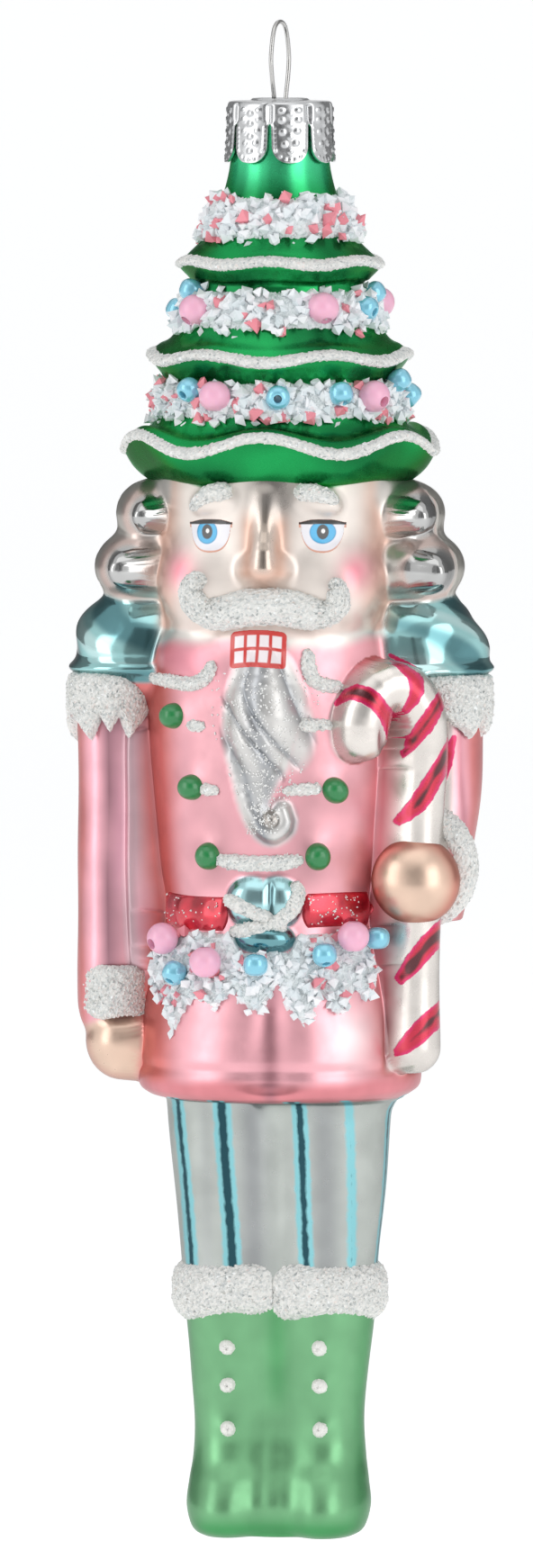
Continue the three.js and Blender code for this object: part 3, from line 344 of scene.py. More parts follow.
relief += -0.45 * streak(14.9, 0.4, 58, 62, 100, 104)
relief += side_of_head * on_head * 0.3 * np.sin(1.9 * level + 1.3 * np.sin(2 * around))
relief += front * nearness(coat) * bumps(COAT_BUTTONS, 2.0, 0.5)
relief += front * bumps([(s * BOOT_BUTTON_SIDE, z) for s in (-1, 1) for z in BOOT_BUTTON_LEVELS], 1.3, 0.25)
relief += -0.25 * front * hump(level, 11.5, 1.8) * step(60, 0, level) * hump(x_now, 0, 9)
relief += 0.1 * np.sin(3 * around + 0.13 * level) * np.sin(0.24 * level + 1.0) * step(4, 8, level)
radius = radius + relief
x_mm, y_mm = radius * sin_around, radius * cos_around
z_mm = np.broadcast_to(level, x_mm.shape)
glass_grid = np.stack([x_mm, y_mm, z_mm], -1)


def shell_normals(grid):
    """Outward normals of a closed map: the cross product of its tangents along the row and up the column."""
    wrapped = np.concatenate([grid[:, -1:], grid, grid[:, :1]], 1)
    n = np.cross(np.gradient(wrapped, axis=1)[:, 1:-1], np.gradient(grid, axis=0))
    return n / np.maximum(np.linalg.norm(n, axis=-1, keepdims=True), 1e-9)


glass_normals = shell_normals(glass_grid)


def srgb(colour):
    """A linear colour from a hex code as it looks on screen. A colour in numbers is already linear."""
    if not isinstance(colour, str):
        return np.array(colour)
    c = np.array([int(colour[i : i + 2], 16) for i in (0, 2, 4)]) / 255
    return np.where(c <= 0.04045, c / 12.92, ((c + 0.055) / 1.055) ** 2.4)


# Lacquer is sprayed and brushed over the silvering: satin pearl first, then the clothes, wig and face. The
# order of the calls is the order of the coats. Some coats are painted light and shade, as said where they
# stand.
SATIN_PEARL, COAT_PINK, SALMON, HEM_ROSE, CREASE_SHADE_ROSE = "dcd6d0", "eaabb4", "d9726c", "d9868d", "8b5a60"
WIG_SILVER, FACE_CREAM, FACE_SIDE_SHADE, CHEEK_PINK = "bfbcb5", "ece2da", "d8ab97", "ee9aa6"
SKIN_PEARL, SKIN_EDGE_SHADE, PUFF_TEAL, TROUSER_SILVER = "dfc2ae", "cd8878", "9ccaca", "b4b9b4"
BOOT_GREEN, BOOT_DEEP = "74ae7e", "46965a"

paint = np.broadcast_to(srgb(SATIN_PEARL), x_mm.shape + (3,)).copy()
rough = np.full(x_mm.shape, 0.34)
metal = np.full(x_mm.shape, 0.72)
facing = np.abs(glass_normals[..., 1])
# 1 where the surface turns away to the sides. The colours laid by it are painted shade at the sides.
side_shade = step(0.75, 0.2, facing)


def spray(mask, colour, roughness=None, metallic=None):
    """Lays a colour, and where given a roughness and a metallic share, over the paint by a mask of 0 to 1."""
    global paint, rough, metal
    mask = np.clip(mask, 0, 1)
    paint = paint + mask[..., None] * (srgb(colour) - paint)
    if roughness is not None:
        rough = rough + mask * (roughness - rough)
    if metallic is not None:
        metal = metal + mask * (metallic - metal)


# From here on these three are those of the finished surface, relief and all.
x_now, y_now = x_mm, y_mm
front = step(0, -4, y_now)
SCALLOPS = 6
edge_wave = 0.5 * np.sin(5 * around) + 0.25 * np.sin(11 * around + 1)
coat_zone = step(55.0, 55.6, level) * step(113.4, 111.6, level + edge_wave)
spray(step(30.4, 31.2, level) * step(56, 55.4, level), TROUSER_SILVER, 0.3, 0.85)
spray(coat_zone, COAT_PINK, 0.36, 0.7)
# Painted highlight: a whitish patch on the skirt's right.
spray(0.6 * coat_zone * front * hump(x_now, 11.0, 2.6) * hump(level, 63.4, 3.4), "fbf3f2")
# Painted shade: grey-rose streaks down the coat on both sides of the beard.
for middle, width in ((-6.2, 2.4), (5.6, 2.2)):
    spray(0.5 * coat_zone * streak(middle, width, 80, 84, 104, 108), "a97f84")
# Painted shade: salmon down the coat's left side, less on its right, and where the coat turns to the sides.
left_edge_shade = step(-10.0, -14.0, x_now) * front + step(11, 14.5, x_now) * front * 0.3
spray(coat_zone * np.clip(left_edge_shade * 0.85 + 0.6 * side_shade, 0, 1), SALMON)
spray(step(58.6, 57.0, level + 0.5 * edge_wave) * coat_zone, HEM_ROSE)
on_sleeves = np.maximum.reduce([nearness(s, 1.0) for s in (left_sleeve, right_sleeve, left_fold, right_fold)])
spray(on_sleeves * coat_zone, "eeb0bc")
# Streaks down the sleeves' fronts: side, half width and colour. The salmon edges and the dark fold at -20.8
# are painted shade, the pale streak at 22.4 is a painted highlight, and the others are tones of the lacquer.
SLEEVE_TONES_SHADE_AND_HIGHLIGHTS = [
    (-24.9, 1.1, "db766f"), (-20.8, 0.45, "8d6470"), (-19.6, 0.6, "dc9fb4"), (-17.9, 1.2, "b09da2"),
    (25.2, 0.9, "db766f"), (22.4, 0.6, "f6ccd2"), (23.5, 0.4, "c27f8a"),
]
for middle, width, code in SLEEVE_TONES_SHADE_AND_HIGHLIGHTS:
    wavering = middle + 0.25 * np.sin(0.3 * level)
    spray(0.8 * on_sleeves * front * coat_zone * hump(x_now, wavering, width), code)
# Painted shade: salmon where the sleeves turn away to the sides.
spray(on_sleeves * step(0.6, 0.2, facing) * coat_zone * 0.7, SALMON)
# Painted shade: a dark rose line in the crease between the left sleeve and the chest.
left_crease_x = -16.2 + np.clip(104 - level, 0, 40) * 0.085
spray(0.65 * streak(left_crease_x, 0.4, 72, 76, 104, 107), CREASE_SHADE_ROSE)
# Painted shade: darker mauve in the skirt's opening.
spray(front * coat_zone * hump(x_now, 1.0, 1.0) * step(72, 68, level) * 0.7, "a8707a", 0.3)
on_hand = nearness(hand, 0.9) * step(66, 64.6, level)
spray(on_hand, SKIN_PEARL, 0.3)
# Painted shade: darker peach where the hand turns away to the sides.
spray(on_hand * side_shade * 0.7, SKIN_EDGE_SHADE)
on_cane = nearness(cane, 1.0)
beside_cane = step(14.2, 15.2, x_now) * step(22.8, 22.0, x_now) * step(-3.2, -4.6, y_now)
beside_cane = beside_cane * front * step(58.4, 59.6, level) * step(109, 106, level)
spray(np.maximum(on_cane, beside_cane), SATIN_PEARL, 0.28, 0.8)
# Painted shade: a dark rose line in the groove between the coat and the cane.
spray(0.75 * streak(14.7, 0.35, 58, 62, 100, 104), CREASE_SHADE_ROSE)
spray(nearness(collar, 1.2), "d98292", 0.4, 0.5)
head_gap = head[0](x_now, y_now, z_mm) * step(116, 112, level)
wig_zone = step(117.2, 119.4, level + 2 * edge_wave) * side_of_head
spray(np.maximum(wig_zone, on_hair * step(114.5, 117.5, level)), WIG_SILVER, 0.3, 0.88)
spray(step(113, 116, level) * step(-2, 3, y_now), WIG_SILVER, 0.3, 0.88)
spray(on_hair * hump(boss_gap, 1.0, 0.7) * 0.35, "d9a79f")
spray(on_hair * step(0.9, 0.1, boss_gap), "b9b9b8", 0.11, 1.0)
face_edge = 15.7 - 2.2 * step(124, 131, level)
face_zone = step(-1.0, -3.0, y_now) * step(108.6, 110.2, level) * (1 - on_hair) * step(0.9, 0.4, head_gap)
face_zone = face_zone * step(face_edge, face_edge - 1.5, np.abs(x_now - 0.3))
spray(face_zone, FACE_CREAM, 0.36, 0.42)
# Painted shade: peach down the face's sides.
spray(face_zone * step(10.2, 13.4, np.abs(x_now - 0.3)) * 0.8, FACE_SIDE_SHADE)
# Painted shadow: greyish peach on the lower face, under the moustache.
spray(face_zone * step(118, 111, level) * 0.5, "cda89e")
spray(face_zone * hump(np.abs(x_now - 0.3), 11.0, 2.0) * hump(level, 121.6, 2.4), CHEEK_PINK)
# Painted shade: darker peach on the nose's sides and round the nostrils.
nose_side_shade = hump(np.abs(x_now - 0.1), 2.0, 1.1) * step(120.2, 121.5, level) * step(130.5, 127, level)
spray(face_zone * nose_side_shade * 0.8, "d3a48d", 0.3)
spray(face_zone * hump(np.hypot(x_now - 0.1, 1.6 * (level - 120.9)), 0, 2.6) * 0.8, "dcae98", 0.3)
spray(face_zone * hump(x_now, 0.3, 1.0) * step(121, 122.5, level), "b8aa9e", 0.18, 0.9)
spray(face_zone * hump(x_now, 0.9, 3.0) * step(127.0, 130.5, level), "aaa39d", 0.24, 0.9)
hat_border = 132.8 + 0.9 * np.cos(SCALLOPS * around)
spray(step(0.25, -0.25, hat_border - level) * step(-7, -10, y_now), "1c8a4b", 0.25, 0.9)
puff_zone = on_puffs * step(13.2, 15.2, np.abs(x_now) + 6 * step(0, 6, y_now)) * step(106.9, 107.6, level)
puff_zone = puff_zone * (1 - on_hair)
spray(puff_zone, PUFF_TEAL, 0.13, 1.0)
# Painted shade and highlights: dark teal in the troughs of the puffs' swirls, pale teal on their crests.
spray(puff_zone * step(0.1, -1.0, swirl) * 0.7, "2c6570")
spray(puff_zone * step(0.5, 1.3, swirl) * 0.7, "c4dedd")
spray(on_beard, "d3d1ce", 0.36, 0.55)
# Painted shade: grey-blue in the grooves between the beard's locks.
spray(on_beard * groove * 0.8, "94999f")
spray(on_beard * hump(x_now, part - 0.4, 1.2) * 0.7, "8f9399", 0.3, 0.8)
spray(nearness(beard_curl, 0.5), "a5a09b", 0.3, 0.95)
spray(np.maximum.reduce([nearness(s, 0.5) for s in bow]), "a9d2d6", 0.2, 1.0)
spray(nearness(bow[2], 0.5), "6f9fa6", 0.15, 1.0)
# Painted shade: a dark teal streak in the groove between the bow's loops.
spray(0.8 * streak(1.2, 0.45, 77.5, 78.5, 82, 84), "33525a")
boot_zone = step(31.0, 30.2, level)
spray(boot_zone, BOOT_GREEN, 0.36, 0.7)
boot_shade = 0.8 * side_shade + 0.6 * hump(x_now, 0.4, 1.4) * step(14, 20, level)
spray(boot_zone * np.clip(boot_shade, 0, 1), BOOT_DEEP)
# Painted shade: broad grey panels down the trousers' front.
for middle, width, depth in ((-2.4, 1.9, 0.55), (6.8, 2.0, 0.5), (-8.3, 1.0, 0.25)):
    spray(streak(middle, width, 30, 33, 54.5, 55.6) * depth, "85858c")
spray(hump(level, 1.0, 1.4), BOOT_DEEP)


OFF_STROKE = 9.0


def stroke(keys):
    """Signed distance in the front view to a tapering brush stroke. Keys are side, height and half width."""
    gap = np.minimum(line_gap(smooth_curve(keys, 16), x_mm, z_mm), OFF_STROKE)
    return np.where(y_mm < -1, gap, OFF_STROKE)


# The red stripes are single brush strokes round the cane. Each key is side, height and half width.
CANE_STROKES = [
    [(9.0, 105.2, 0.3), (11.0, 106.6, 0.9), (13.4, 106.2, 1.1), (15.3, 103.8, 0.8), (15.6, 100.4, 0.25)],
    [(14.9, 111.0, 0.2), (17.6, 109.4, 0.5), (19.0, 107.6, 0.85), (18.4, 105.4, 0.7), (17.0, 103.8, 0.25)],
    [(22.1, 107.6, 0.3), (21.2, 104.6, 0.85), (19.1, 101.4, 1.05), (16.4, 98.4, 0.45)],
    [(22.6, 100.6, 0.3), (21.5, 97.2, 0.9), (18.9, 92.7, 1.15), (15.3, 89.5, 0.4)],
    [(22.6, 78.0, 0.9), (20.2, 75.2, 1.25), (18.0, 72.4, 1.15), (15.9, 70.1, 0.6)],
    [(22.6, 68.0, 0.9), (20.2, 65.3, 1.3), (18.0, 63.0, 1.15), (16.0, 61.4, 0.6)],
]
stripes = np.minimum.reduce([stroke(keys) for keys in CANE_STROKES])
stripes = np.where((x_mm > 7.5) & (y_mm < -4.4) & (z_mm > 58), stripes, OFF_STROKE)
# Teal bands are brushed down the trousers. At the back each is an angle from the front and a half width, in
# degrees.
MM_A_DEGREE = 0.16
TROUSER_BANDS = [(86, 5), (118, 6), (150, 6), (-98, 5), (-130, 6), (-162, 6)]
# Those in front are the side, its move for each millimetre up, and a half width.
FRONT_BANDS = [(-11.2, -0.08, 0.9), (-5.6, -0.05, 1.1), (3.9, -0.04, 1.0), (9.9, 0.0, 0.5)]
wander = 1.5 * np.sin(0.25 * z_mm + 3 * around)
degrees = np.degrees(around)[None, :] - wander
off_band = [np.abs((degrees - a + 180) % 360 - 180) - w for a, w in TROUSER_BANDS]
bands = np.minimum.reduce(off_band) * MM_A_DEGREE
across = [np.abs(x_mm - x - slope * (z_mm - 45) - 0.05 * wander) - w for x, slope, w in FRONT_BANDS]
bands = np.minimum(bands, np.where(y_mm < -1, np.minimum.reduce(across), OFF_STROKE))
bands = np.where((z_mm > 33) & (z_mm < 55.6), bands, OFF_STROKE)


def linked(name, data):
    """A new object of the scene from its mesh, lamp or camera data."""
    made = bpy.data.objects.new(name, data)
    bpy.context.scene.collection.objects.link(made)
    return made


def mesh_object(name, points, face_sets, smooth=True):
    """An object from points in millimetres above the soles and arrays of faces, one array a face size."""
    mesh = bpy.data.meshes.new(name)
    mesh.vertices.add(len(points))
    mesh.vertices.foreach_set("co", (points * MM + (0, 0, SOLE_LEVEL)).astype(np.float32).ravel())
    corners = np.concatenate([f.ravel() for f in face_sets])
    sizes = np.concatenate([np.full(len(f), f.shape[1]) for f in face_sets])
    mesh.loops.add(len(corners))
    mesh.loops.foreach_set("vertex_index", corners.astype(np.int32))
    mesh.polygons.add(len(sizes))
    mesh.polygons.foreach_set("loop_start", (np.cumsum(sizes) - sizes).astype(np.int32))
    mesh.polygons.foreach_set("use_smooth", np.full(len(sizes), smooth))
    mesh.update(calc_edges=True)
    return linked(name, mesh)


def grid_faces(rows, columns, wrap=True, loop=False):
    """Quads of a grid. wrap joins its last column to the first, and loop its last row to the first."""
    i = np.arange(rows if loop else rows - 1)[:, None]
    j = np.arange(columns if wrap else columns - 1)[None, :]
    low, high = i * columns, (i + 1) % rows * columns
    k = (j + 1) % columns
    return np.stack([low + j, low + k, high + k, high + j], -1).reshape(-1, 4)


def surface(name, grid, wrap=True, loop=False, foot=None, top=None, smooth=True):
    """A grid of points as an object. Rows go up and columns to the right, seen from outside. foot and top are
    points that close the first and the last row with fans."""
    rows, columns = grid.shape[:2]
    points, faces = [grid.reshape(-1, 3)], [grid_faces(rows, columns, wrap, loop)]
    here = np.arange(columns)
    beyond = (here + 1) % columns
    fans = [(foot, beyond, here), (top, (rows - 1) * columns + here, (rows - 1) * columns + beyond)]
    for tip, first, second in fans:
        if tip is not None:
            faces.append(np.stack([first, second, np.full(columns, sum(map(len, points)))], -1))
            points.append(np.array([tip], float))
    return mesh_object(name, np.concatenate(points), faces, smooth)


def layer(piece, name, values):
    """Writes a number or a colour for each vertex as a named attribute. Further vertices repeat the last."""
    values = np.asarray(values, np.float32)
    missing = len(piece.data.vertices) - len(values)
    values = np.concatenate([values, np.repeat(values[-1:], missing, 0)]) if missing else values
    colour = values.ndim == 2
    made = piece.data.attributes.new(name, "FLOAT_COLOR" if colour else "FLOAT", "POINT")
    if colour:
        values = np.hstack([values, np.ones((len(values), 1), np.float32)])
    made.data.foreach_set("color" if colour else "value", values.ravel())


def lacquer_layers(piece, colours, *values):
    """Writes what the lacquer reads: paint, and rough, metal, stripe and band, each a grid or a number."""
    colours = colours.reshape(-1, 3)
    layer(piece, "paint", colours)
    for name, value in zip(("rough", "metal", "stripe", "band"), values):
        layer(piece, name, np.ravel(value) * np.ones(len(colours)))


def feed(fed, links):
    """Fills a node's inputs, by name or number, with values or from sockets."""
    for key, value in links.items():
        if isinstance(value, bpy.types.NodeSocket):
            fed.id_data.links.new(value, fed.inputs[key])
        else:
            fed.inputs[key].default_value = value


def node(tree, kind, links=None, **settings):
    """A shader node with its settings and what feeds it."""
    made = tree.nodes.new("ShaderNode" + kind)
    for key, value in settings.items():
        setattr(made, key, value)
    feed(made, links or {})
    return made


def attribute(tree, name, output="Fac"):
    """A piece's own vertex attribute."""
    return node(tree, "Attribute", attribute_name=name).outputs[output]


def blend_colours(share, first, second):
    """Mix of two colours by a share from 0 to 1, which comes from a socket."""
    first, second = (c if isinstance(c, bpy.types.NodeSocket) else (*srgb(c), 1) for c in (first, second))
    return node(share.id_data, "Mix", {0: share, 6: first, 7: second}, data_type="RGBA").outputs[2]


def sums(operation, first, second):
    """A math node's result on a socket and a socket or number."""
    return node(first.id_data, "Math", {0: first, 1: second}, operation=operation).outputs[0]


def ranged(value, low, high, to_low=0.0, to_high=1.0):
    """A socket's value carried from one range to another and held inside it."""
    links = {"Value": value, "From Min": low, "From Max": high, "To Min": to_low, "To Max": to_high}
    return node(value.id_data, "MapRange", links).outputs[0]


def noise(tree, scale, detail=2.0):
    """Noise on the object's own coordinates, with scale in waves per metre."""
    at = node(tree, "TexCoord").outputs["Object"]
    return node(tree, "TexNoise", {"Vector": at, "Scale": scale, "Detail": detail}).outputs[0]


def finish(name, colour, settings):
    """A Principled material, its tree and its shader."""
    made = bpy.data.materials.new(name)
    made.use_nodes = True
    shader = made.node_tree.nodes["Principled BSDF"]
    feed(shader, {"Base Color": (*srgb(colour), 1), **settings})
    return made, made.node_tree, shader


def grained(name, colour, metallic, scale, low, smooth, rough):
    """A finish whose roughness follows noise: smooth up to the noise value low, and rough from 0.7 on."""
    made, tree, shader = finish(name, colour, {"Metallic": metallic})
    feed(shader, {"Roughness": ranged(noise(tree, scale), low, 0.7, smooth, rough)})
    return made


def shader_group(name, inputs, outputs):
    """An empty shader node group with its sockets, its input node and its output node."""
    tree = bpy.data.node_groups.new(name, "ShaderNodeTree")
    for way, sockets in (("INPUT", inputs), ("OUTPUT", outputs)):
        for label, kind in sockets:
            tree.interface.new_socket(label, in_out=way, socket_type="NodeSocket" + kind)
    return tree, tree.nodes.new("NodeGroupInput"), tree.nodes.new("NodeGroupOutput")


# The lacquer's shader: mottled pearl paint over silvering, and strokes whose edges are signed distances.
STRIPE_CORE, STRIPE_RED, STRIPE_EDGE = "520818", "c8143c", "d41a68"
BAND_TEAL, BAND_CORE = "86c3ca", "264b55"
lacquer_group, given, result = shader_group(
    "brushed_lacquer",
    [("Paint", "Color"), ("Rough", "Float"), ("Stripe", "Float"), ("Band", "Float")],
    [("Color", "Color"), ("Roughness", "Float"), ("Height", "Float"), ("Stroke", "Float")],
)
paint_in, rough_in, stripe_in, band_in = list(given.outputs)[:4]
mottle, grain = noise(lacquer_group, 230.0, 1.5), noise(lacquer_group, 900.0)
brush_edge = sums("MULTIPLY", sums("SUBTRACT", grain, 0.5), 0.5)
stripe_edge = sums("ADD", stripe_in, brush_edge)
band_edge = sums("ADD", band_in, brush_edge)
heart_edge = sums("ADD", stripe_in, sums("MULTIPLY", mottle, 2.0))
in_stripe = ranged(stripe_edge, 0.05, -0.05)
in_stripe_core = ranged(stripe_edge, -0.08, -0.5)
in_stripe_heart = ranged(heart_edge, 0.42, 0.1)
in_band = ranged(band_edge, 0.2, -0.15)
in_band_core = ranged(band_edge, -0.45, -0.75)
stripe_colour = blend_colours(in_stripe_core, STRIPE_EDGE, STRIPE_RED)
stripe_colour = blend_colours(in_stripe_heart, stripe_colour, STRIPE_CORE)
band_colour = blend_colours(in_band_core, BAND_TEAL, BAND_CORE)
tone = ranged(mottle, 0.3, 0.7, 0.9, 1.06)
toned = node(lacquer_group, "VectorMath", {0: paint_in, 3: tone}, operation="SCALE").outputs[0]
with_bands = blend_colours(in_band, toned, band_colour)
feed(result, {
    "Color": blend_colours(in_stripe, with_bands, stripe_colour),
    "Roughness": sums("ADD", rough_in, ranged(grain, 0.3, 0.7, -0.03, 0.04)),
    "Height": sums("ADD", sums("MULTIPLY", mottle, 0.6), in_stripe),
    "Stroke": in_stripe,
})


def lacquer(name, edge_tint):
    """A lacquer finish that takes its paint, roughness and strokes from the piece's own attributes. edge_tint
    is its colour where it is seen at a slant."""
    settings = {"Coat Roughness": 0.2, "Specular Tint": (*edge_tint, 1)}
    made, tree, shader = finish(name, (0.8, 0.8, 0.8), settings)
    layers_in = {key.capitalize(): attribute(tree, key) for key in ("rough", "stripe", "band")}
    layers_in["Paint"] = attribute(tree, "paint", "Color")
    colour, roughness, height, on_stroke = node(tree, "Group", layers_in, node_tree=lacquer_group).outputs
    metallic = attribute(tree, "metal")
    feed(shader, {
        "Base Color": colour,
        "Roughness": roughness,
        "Metallic": ranged(on_stroke, 0, 1, metallic, 0.55),
        "Coat Weight": sums("MAXIMUM", ranged(metallic, 0.6, 0.85, 0.35, 0.1), on_stroke),
        "Normal": node(tree, "Bump", {"Height": height, "Strength": 0.3, "Distance": 0.0001}).outputs[0],
    })
    return made


glass_lacquer = lacquer("glass_lacquer", (0.5, 0.5, 0.5))


def dress(piece, made, node_name="glass_body", body="figure"):
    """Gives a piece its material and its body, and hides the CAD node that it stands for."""
    piece.data.materials.append(made)
    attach(piece, body)
    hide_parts(node_name)


# The shell's map is cut into six pieces that share border rows and take their normals from the whole map.
PIECE_NAMES = ["glass_boots", "glass_trousers", "glass_skirt", "glass_tunic", "glass_chest", "glass_head"]
PIECE_CUTS = [0, 30.9, 54.6, 77.0, 93.0, 108.2, 140]
cut_rows = np.minimum(np.searchsorted(levels, PIECE_CUTS), len(levels) - 1)
for name, first, last in zip(PIECE_NAMES, cut_rows[:-1], cut_rows[1:]):
    part_rows = slice(first, last + 1)
    foot = (0, -1.0, 0.0) if first == 0 else None
    top = (0, 0, levels[-1]) if last == len(levels) - 1 else None
    piece = surface(name, glass_grid[part_rows], foot=foot, top=top)
    normals = glass_normals[part_rows].reshape(-1, 3)
    extra = np.array([n for n, tip in (((0, 0, -1), foot), ((0, 0, 1), top)) if tip]).reshape(-1, 3)
    piece.data.normals_split_custom_set_from_vertices(np.concatenate([normals, extra]).astype(np.float32))
    lacquer_layers(piece, *(values[part_rows] for values in (paint, rough, metal, stripes, bands)))
    dress(piece, glass_lacquer)


# The fist stands out round the cane, so it is an oval ball of its own that runs into the shell.
fist_up = np.linspace(-np.pi / 2, np.pi / 2, 40)[1:-1, None]
fist_turn = full_turn(72, -np.pi)[None, :]
fist_x, fist_y = np.cos(fist_up) * np.sin(fist_turn), -np.cos(fist_up) * np.cos(fist_turn)
fist_unit = np.stack([fist_x, fist_y, np.sin(fist_up) + 0 * fist_turn], -1)
fist_swell = 1 + 0.05 * hump(np.hypot(fist_x - 0.25, fist_unit[..., 2] + 0.25), 0, 0.5) * (fist_y < 0)
fist_grid = np.array(FIST_MIDDLE) + fist_unit * FIST_RADII * fist_swell[..., None]
fist_poles = [tuple(np.array(FIST_MIDDLE) + (0, 0, s * FIST_RADII[2])) for s in (-1, 1)]
fist_piece = surface("glass_fist", fist_grid, foot=fist_poles[0], top=fist_poles[1])
# Painted shade: darker peach where the fist turns away from the front.
fist_edge_shade = step(0.8, 0.25, -fist_y)[..., None]
fist_paint = srgb(SKIN_PEARL) + fist_edge_shade * (srgb(SKIN_EDGE_SHADE) - srgb(SKIN_PEARL))
lacquer_layers(fist_piece, fist_paint, 0.32, 0.8, OFF_STROKE, OFF_STROKE)
dress(fist_piece, glass_lacquer)


def round_axis(r, angle, z, share=1.0):
    """Points at radius r, an angle from the front and height z. share flattens them from front to back."""
    return np.stack([r * np.sin(angle), -share * r * np.cos(angle), z], -1)


def radius_at(angle, z):
    """The shell's radius in a direction and at a height, straight-lined between the map's nearest points."""
    column = np.interp(angle, np.append(around, around[0] + 2 * np.pi), np.arange(COLUMNS + 1))
    at_row = np.interp(z, levels, np.arange(len(levels)))
    i, j = np.minimum(at_row.astype(int), len(levels) - 2), column.astype(int) % COLUMNS
    u, v, k = column - column.astype(int), at_row - i, (j + 1) % COLUMNS
    low = radius[i, j] * (1 - u) + radius[i, k] * u
    high = radius[i + 1, j] * (1 - u) + radius[i + 1, k] * u
    return low * (1 - v) + high * v


SEARCH_DEPTH, SEARCH_ROUNDS, WIDEST_SINE = 15.0, 12, 0.97


def on_front(x, z, lift=0.0):
    """Points on the shell's front at sides x and heights z, moved outwards by lift. The angle is found by
    rounds that halve the way to the arcsine of the side over the radius there."""
    x, z = np.broadcast_arrays(np.asarray(x, float), np.asarray(z, float))
    angle = np.arctan2(x, SEARCH_DEPTH)
    for _ in range(SEARCH_ROUNDS):
        sine = np.clip(x / radius_at(angle, z), -WIDEST_SINE, WIDEST_SINE)
        angle = 0.5 * angle + 0.5 * np.arcsin(sine)
    r = radius_at(angle, z) + lift
    return round_axis(r, angle, z)


# The hat is the upper part of the same bubble: three flared tiers with scalloped edges, open at the neck. It
# is drawn as a double-walled shell from the brim up over the lip and back down inside.
HAT_DEPTH_SHARE, HAT_ROWS = 0.92, 330
# Each row is height, radius and scallop height, and its depth share where that is another.
HAT_OUTSIDE = [
    (132.0, 12.0, 0.1), (132.2, 14.6, 0.2), (132.7, 16.4, 0.37), (134.6, 18.2, 0.88), (136.5, 19.3, 1.1),
    (137.4, 19.4, 1.1), (138.5, 18.3, 0.88), (139.4, 16.1, 0.28), (144.2, 14.2, 0), (145.5, 14.8, -0.25),
    (147.1, 16.0, -0.5), (148.0, 16.2, -0.5), (149.1, 15.1, -0.35), (150.8, 13.2, 0), (156.3, 10.5, 0),
    (157.7, 11.3, 0.15), (159.0, 12.4, 0.3), (159.8, 12.6, 0.3), (160.9, 11.4, 0.15), (162.8, 9.5, 0),
    (165.5, 8.0, 0, 0.94), (168.3, 7.05, 0, 0.98), (170.4, 6.5, 0, 1), (172.2, 6.2, 0, 1),
    (174.4, 6.02, 0, 1), (178.9, 5.95, 0, 1), (179.2, 5.6, 0, 1),
]
HAT_INSIDE = [
    (178.9, 5.2, 0, 1), (171.0, 5.2, 0, 1), (168.3, 6.0, 0, 0.98), (165.5, 7.0, 0, 0.94), (162.8, 8.5, 0),
    (160.9, 10.3, 0.15), (159.8, 11.3, 0.3), (159.0, 11.0, 0.3), (157.9, 9.6, 0.15), (157.4, 2.0, 0),
]
hat_line = np.vstack([
    smooth_curve([row + (HAT_DEPTH_SHARE,) * (4 - len(row)) for row in rows], count)
    for rows, count in ((HAT_OUTSIDE, HAT_ROWS), (HAT_INSIDE, 60))
])
hat_turn = full_turn(COLUMNS // 2, -np.pi)


def hat_skin(angle, z, lift=0.0):
    """A point on the hat's outside at an angle from the front and a height, moved outwards by lift."""
    outside = hat_line[:HAT_ROWS]
    keys = outside[np.diff(outside[:, 0], prepend=131) > 1e-6]
    r, rise, share = (np.interp(z, keys[:, 0], values) for values in keys[:, 1:].T)
    return round_axis(r + lift, angle, z + rise * np.cos(SCALLOPS * angle), share)


hat_z, hat_r, hat_rise, hat_share = (values[:, None] for values in hat_line.T)
hat_z = hat_z + hat_rise * np.cos(SCALLOPS * hat_turn)
hat_grid = round_axis(hat_r, hat_turn, hat_z, hat_share)
hat_piece = surface("glass_hat", hat_grid, foot=(0, 0, 132.0), top=(0, 0, 157.4))
# Painted reflections: the waves of dark green round the hat, laid by the first of the hat's coats, stand for
# reflections in the glossy lacquer.
deep = 0.5 + 0.5 * np.sin(3 * hat_turn + 0.5 * hat_z) + 0.3 * np.sin(7 * hat_turn - 0.3 * hat_z)
hat_paint = np.broadcast_to(srgb("1d9850"), hat_grid.shape)
hat_coats_and_reflections = [
    (0.75 * np.clip(deep, 0, 1), "0d5c31"), (0.8 * step(167.5, 172.5, hat_z), "4fdc9c"),
    (0.8 * hump(hat_z, 178.6, 1.2), "c9cbc9"), (np.arange(len(hat_z))[:, None] >= HAT_ROWS, "b9bbbd"),
]
for share, code in hat_coats_and_reflections:
    hat_paint = hat_paint + (1.0 * share)[..., None] * (srgb(code) - hat_paint)
lacquer_layers(hat_piece, hat_paint, 0.27, 0.84, OFF_STROKE, OFF_STROKE)
dress(hat_piece, lacquer("hat_lacquer", (0.06, 0.35, 0.16)))


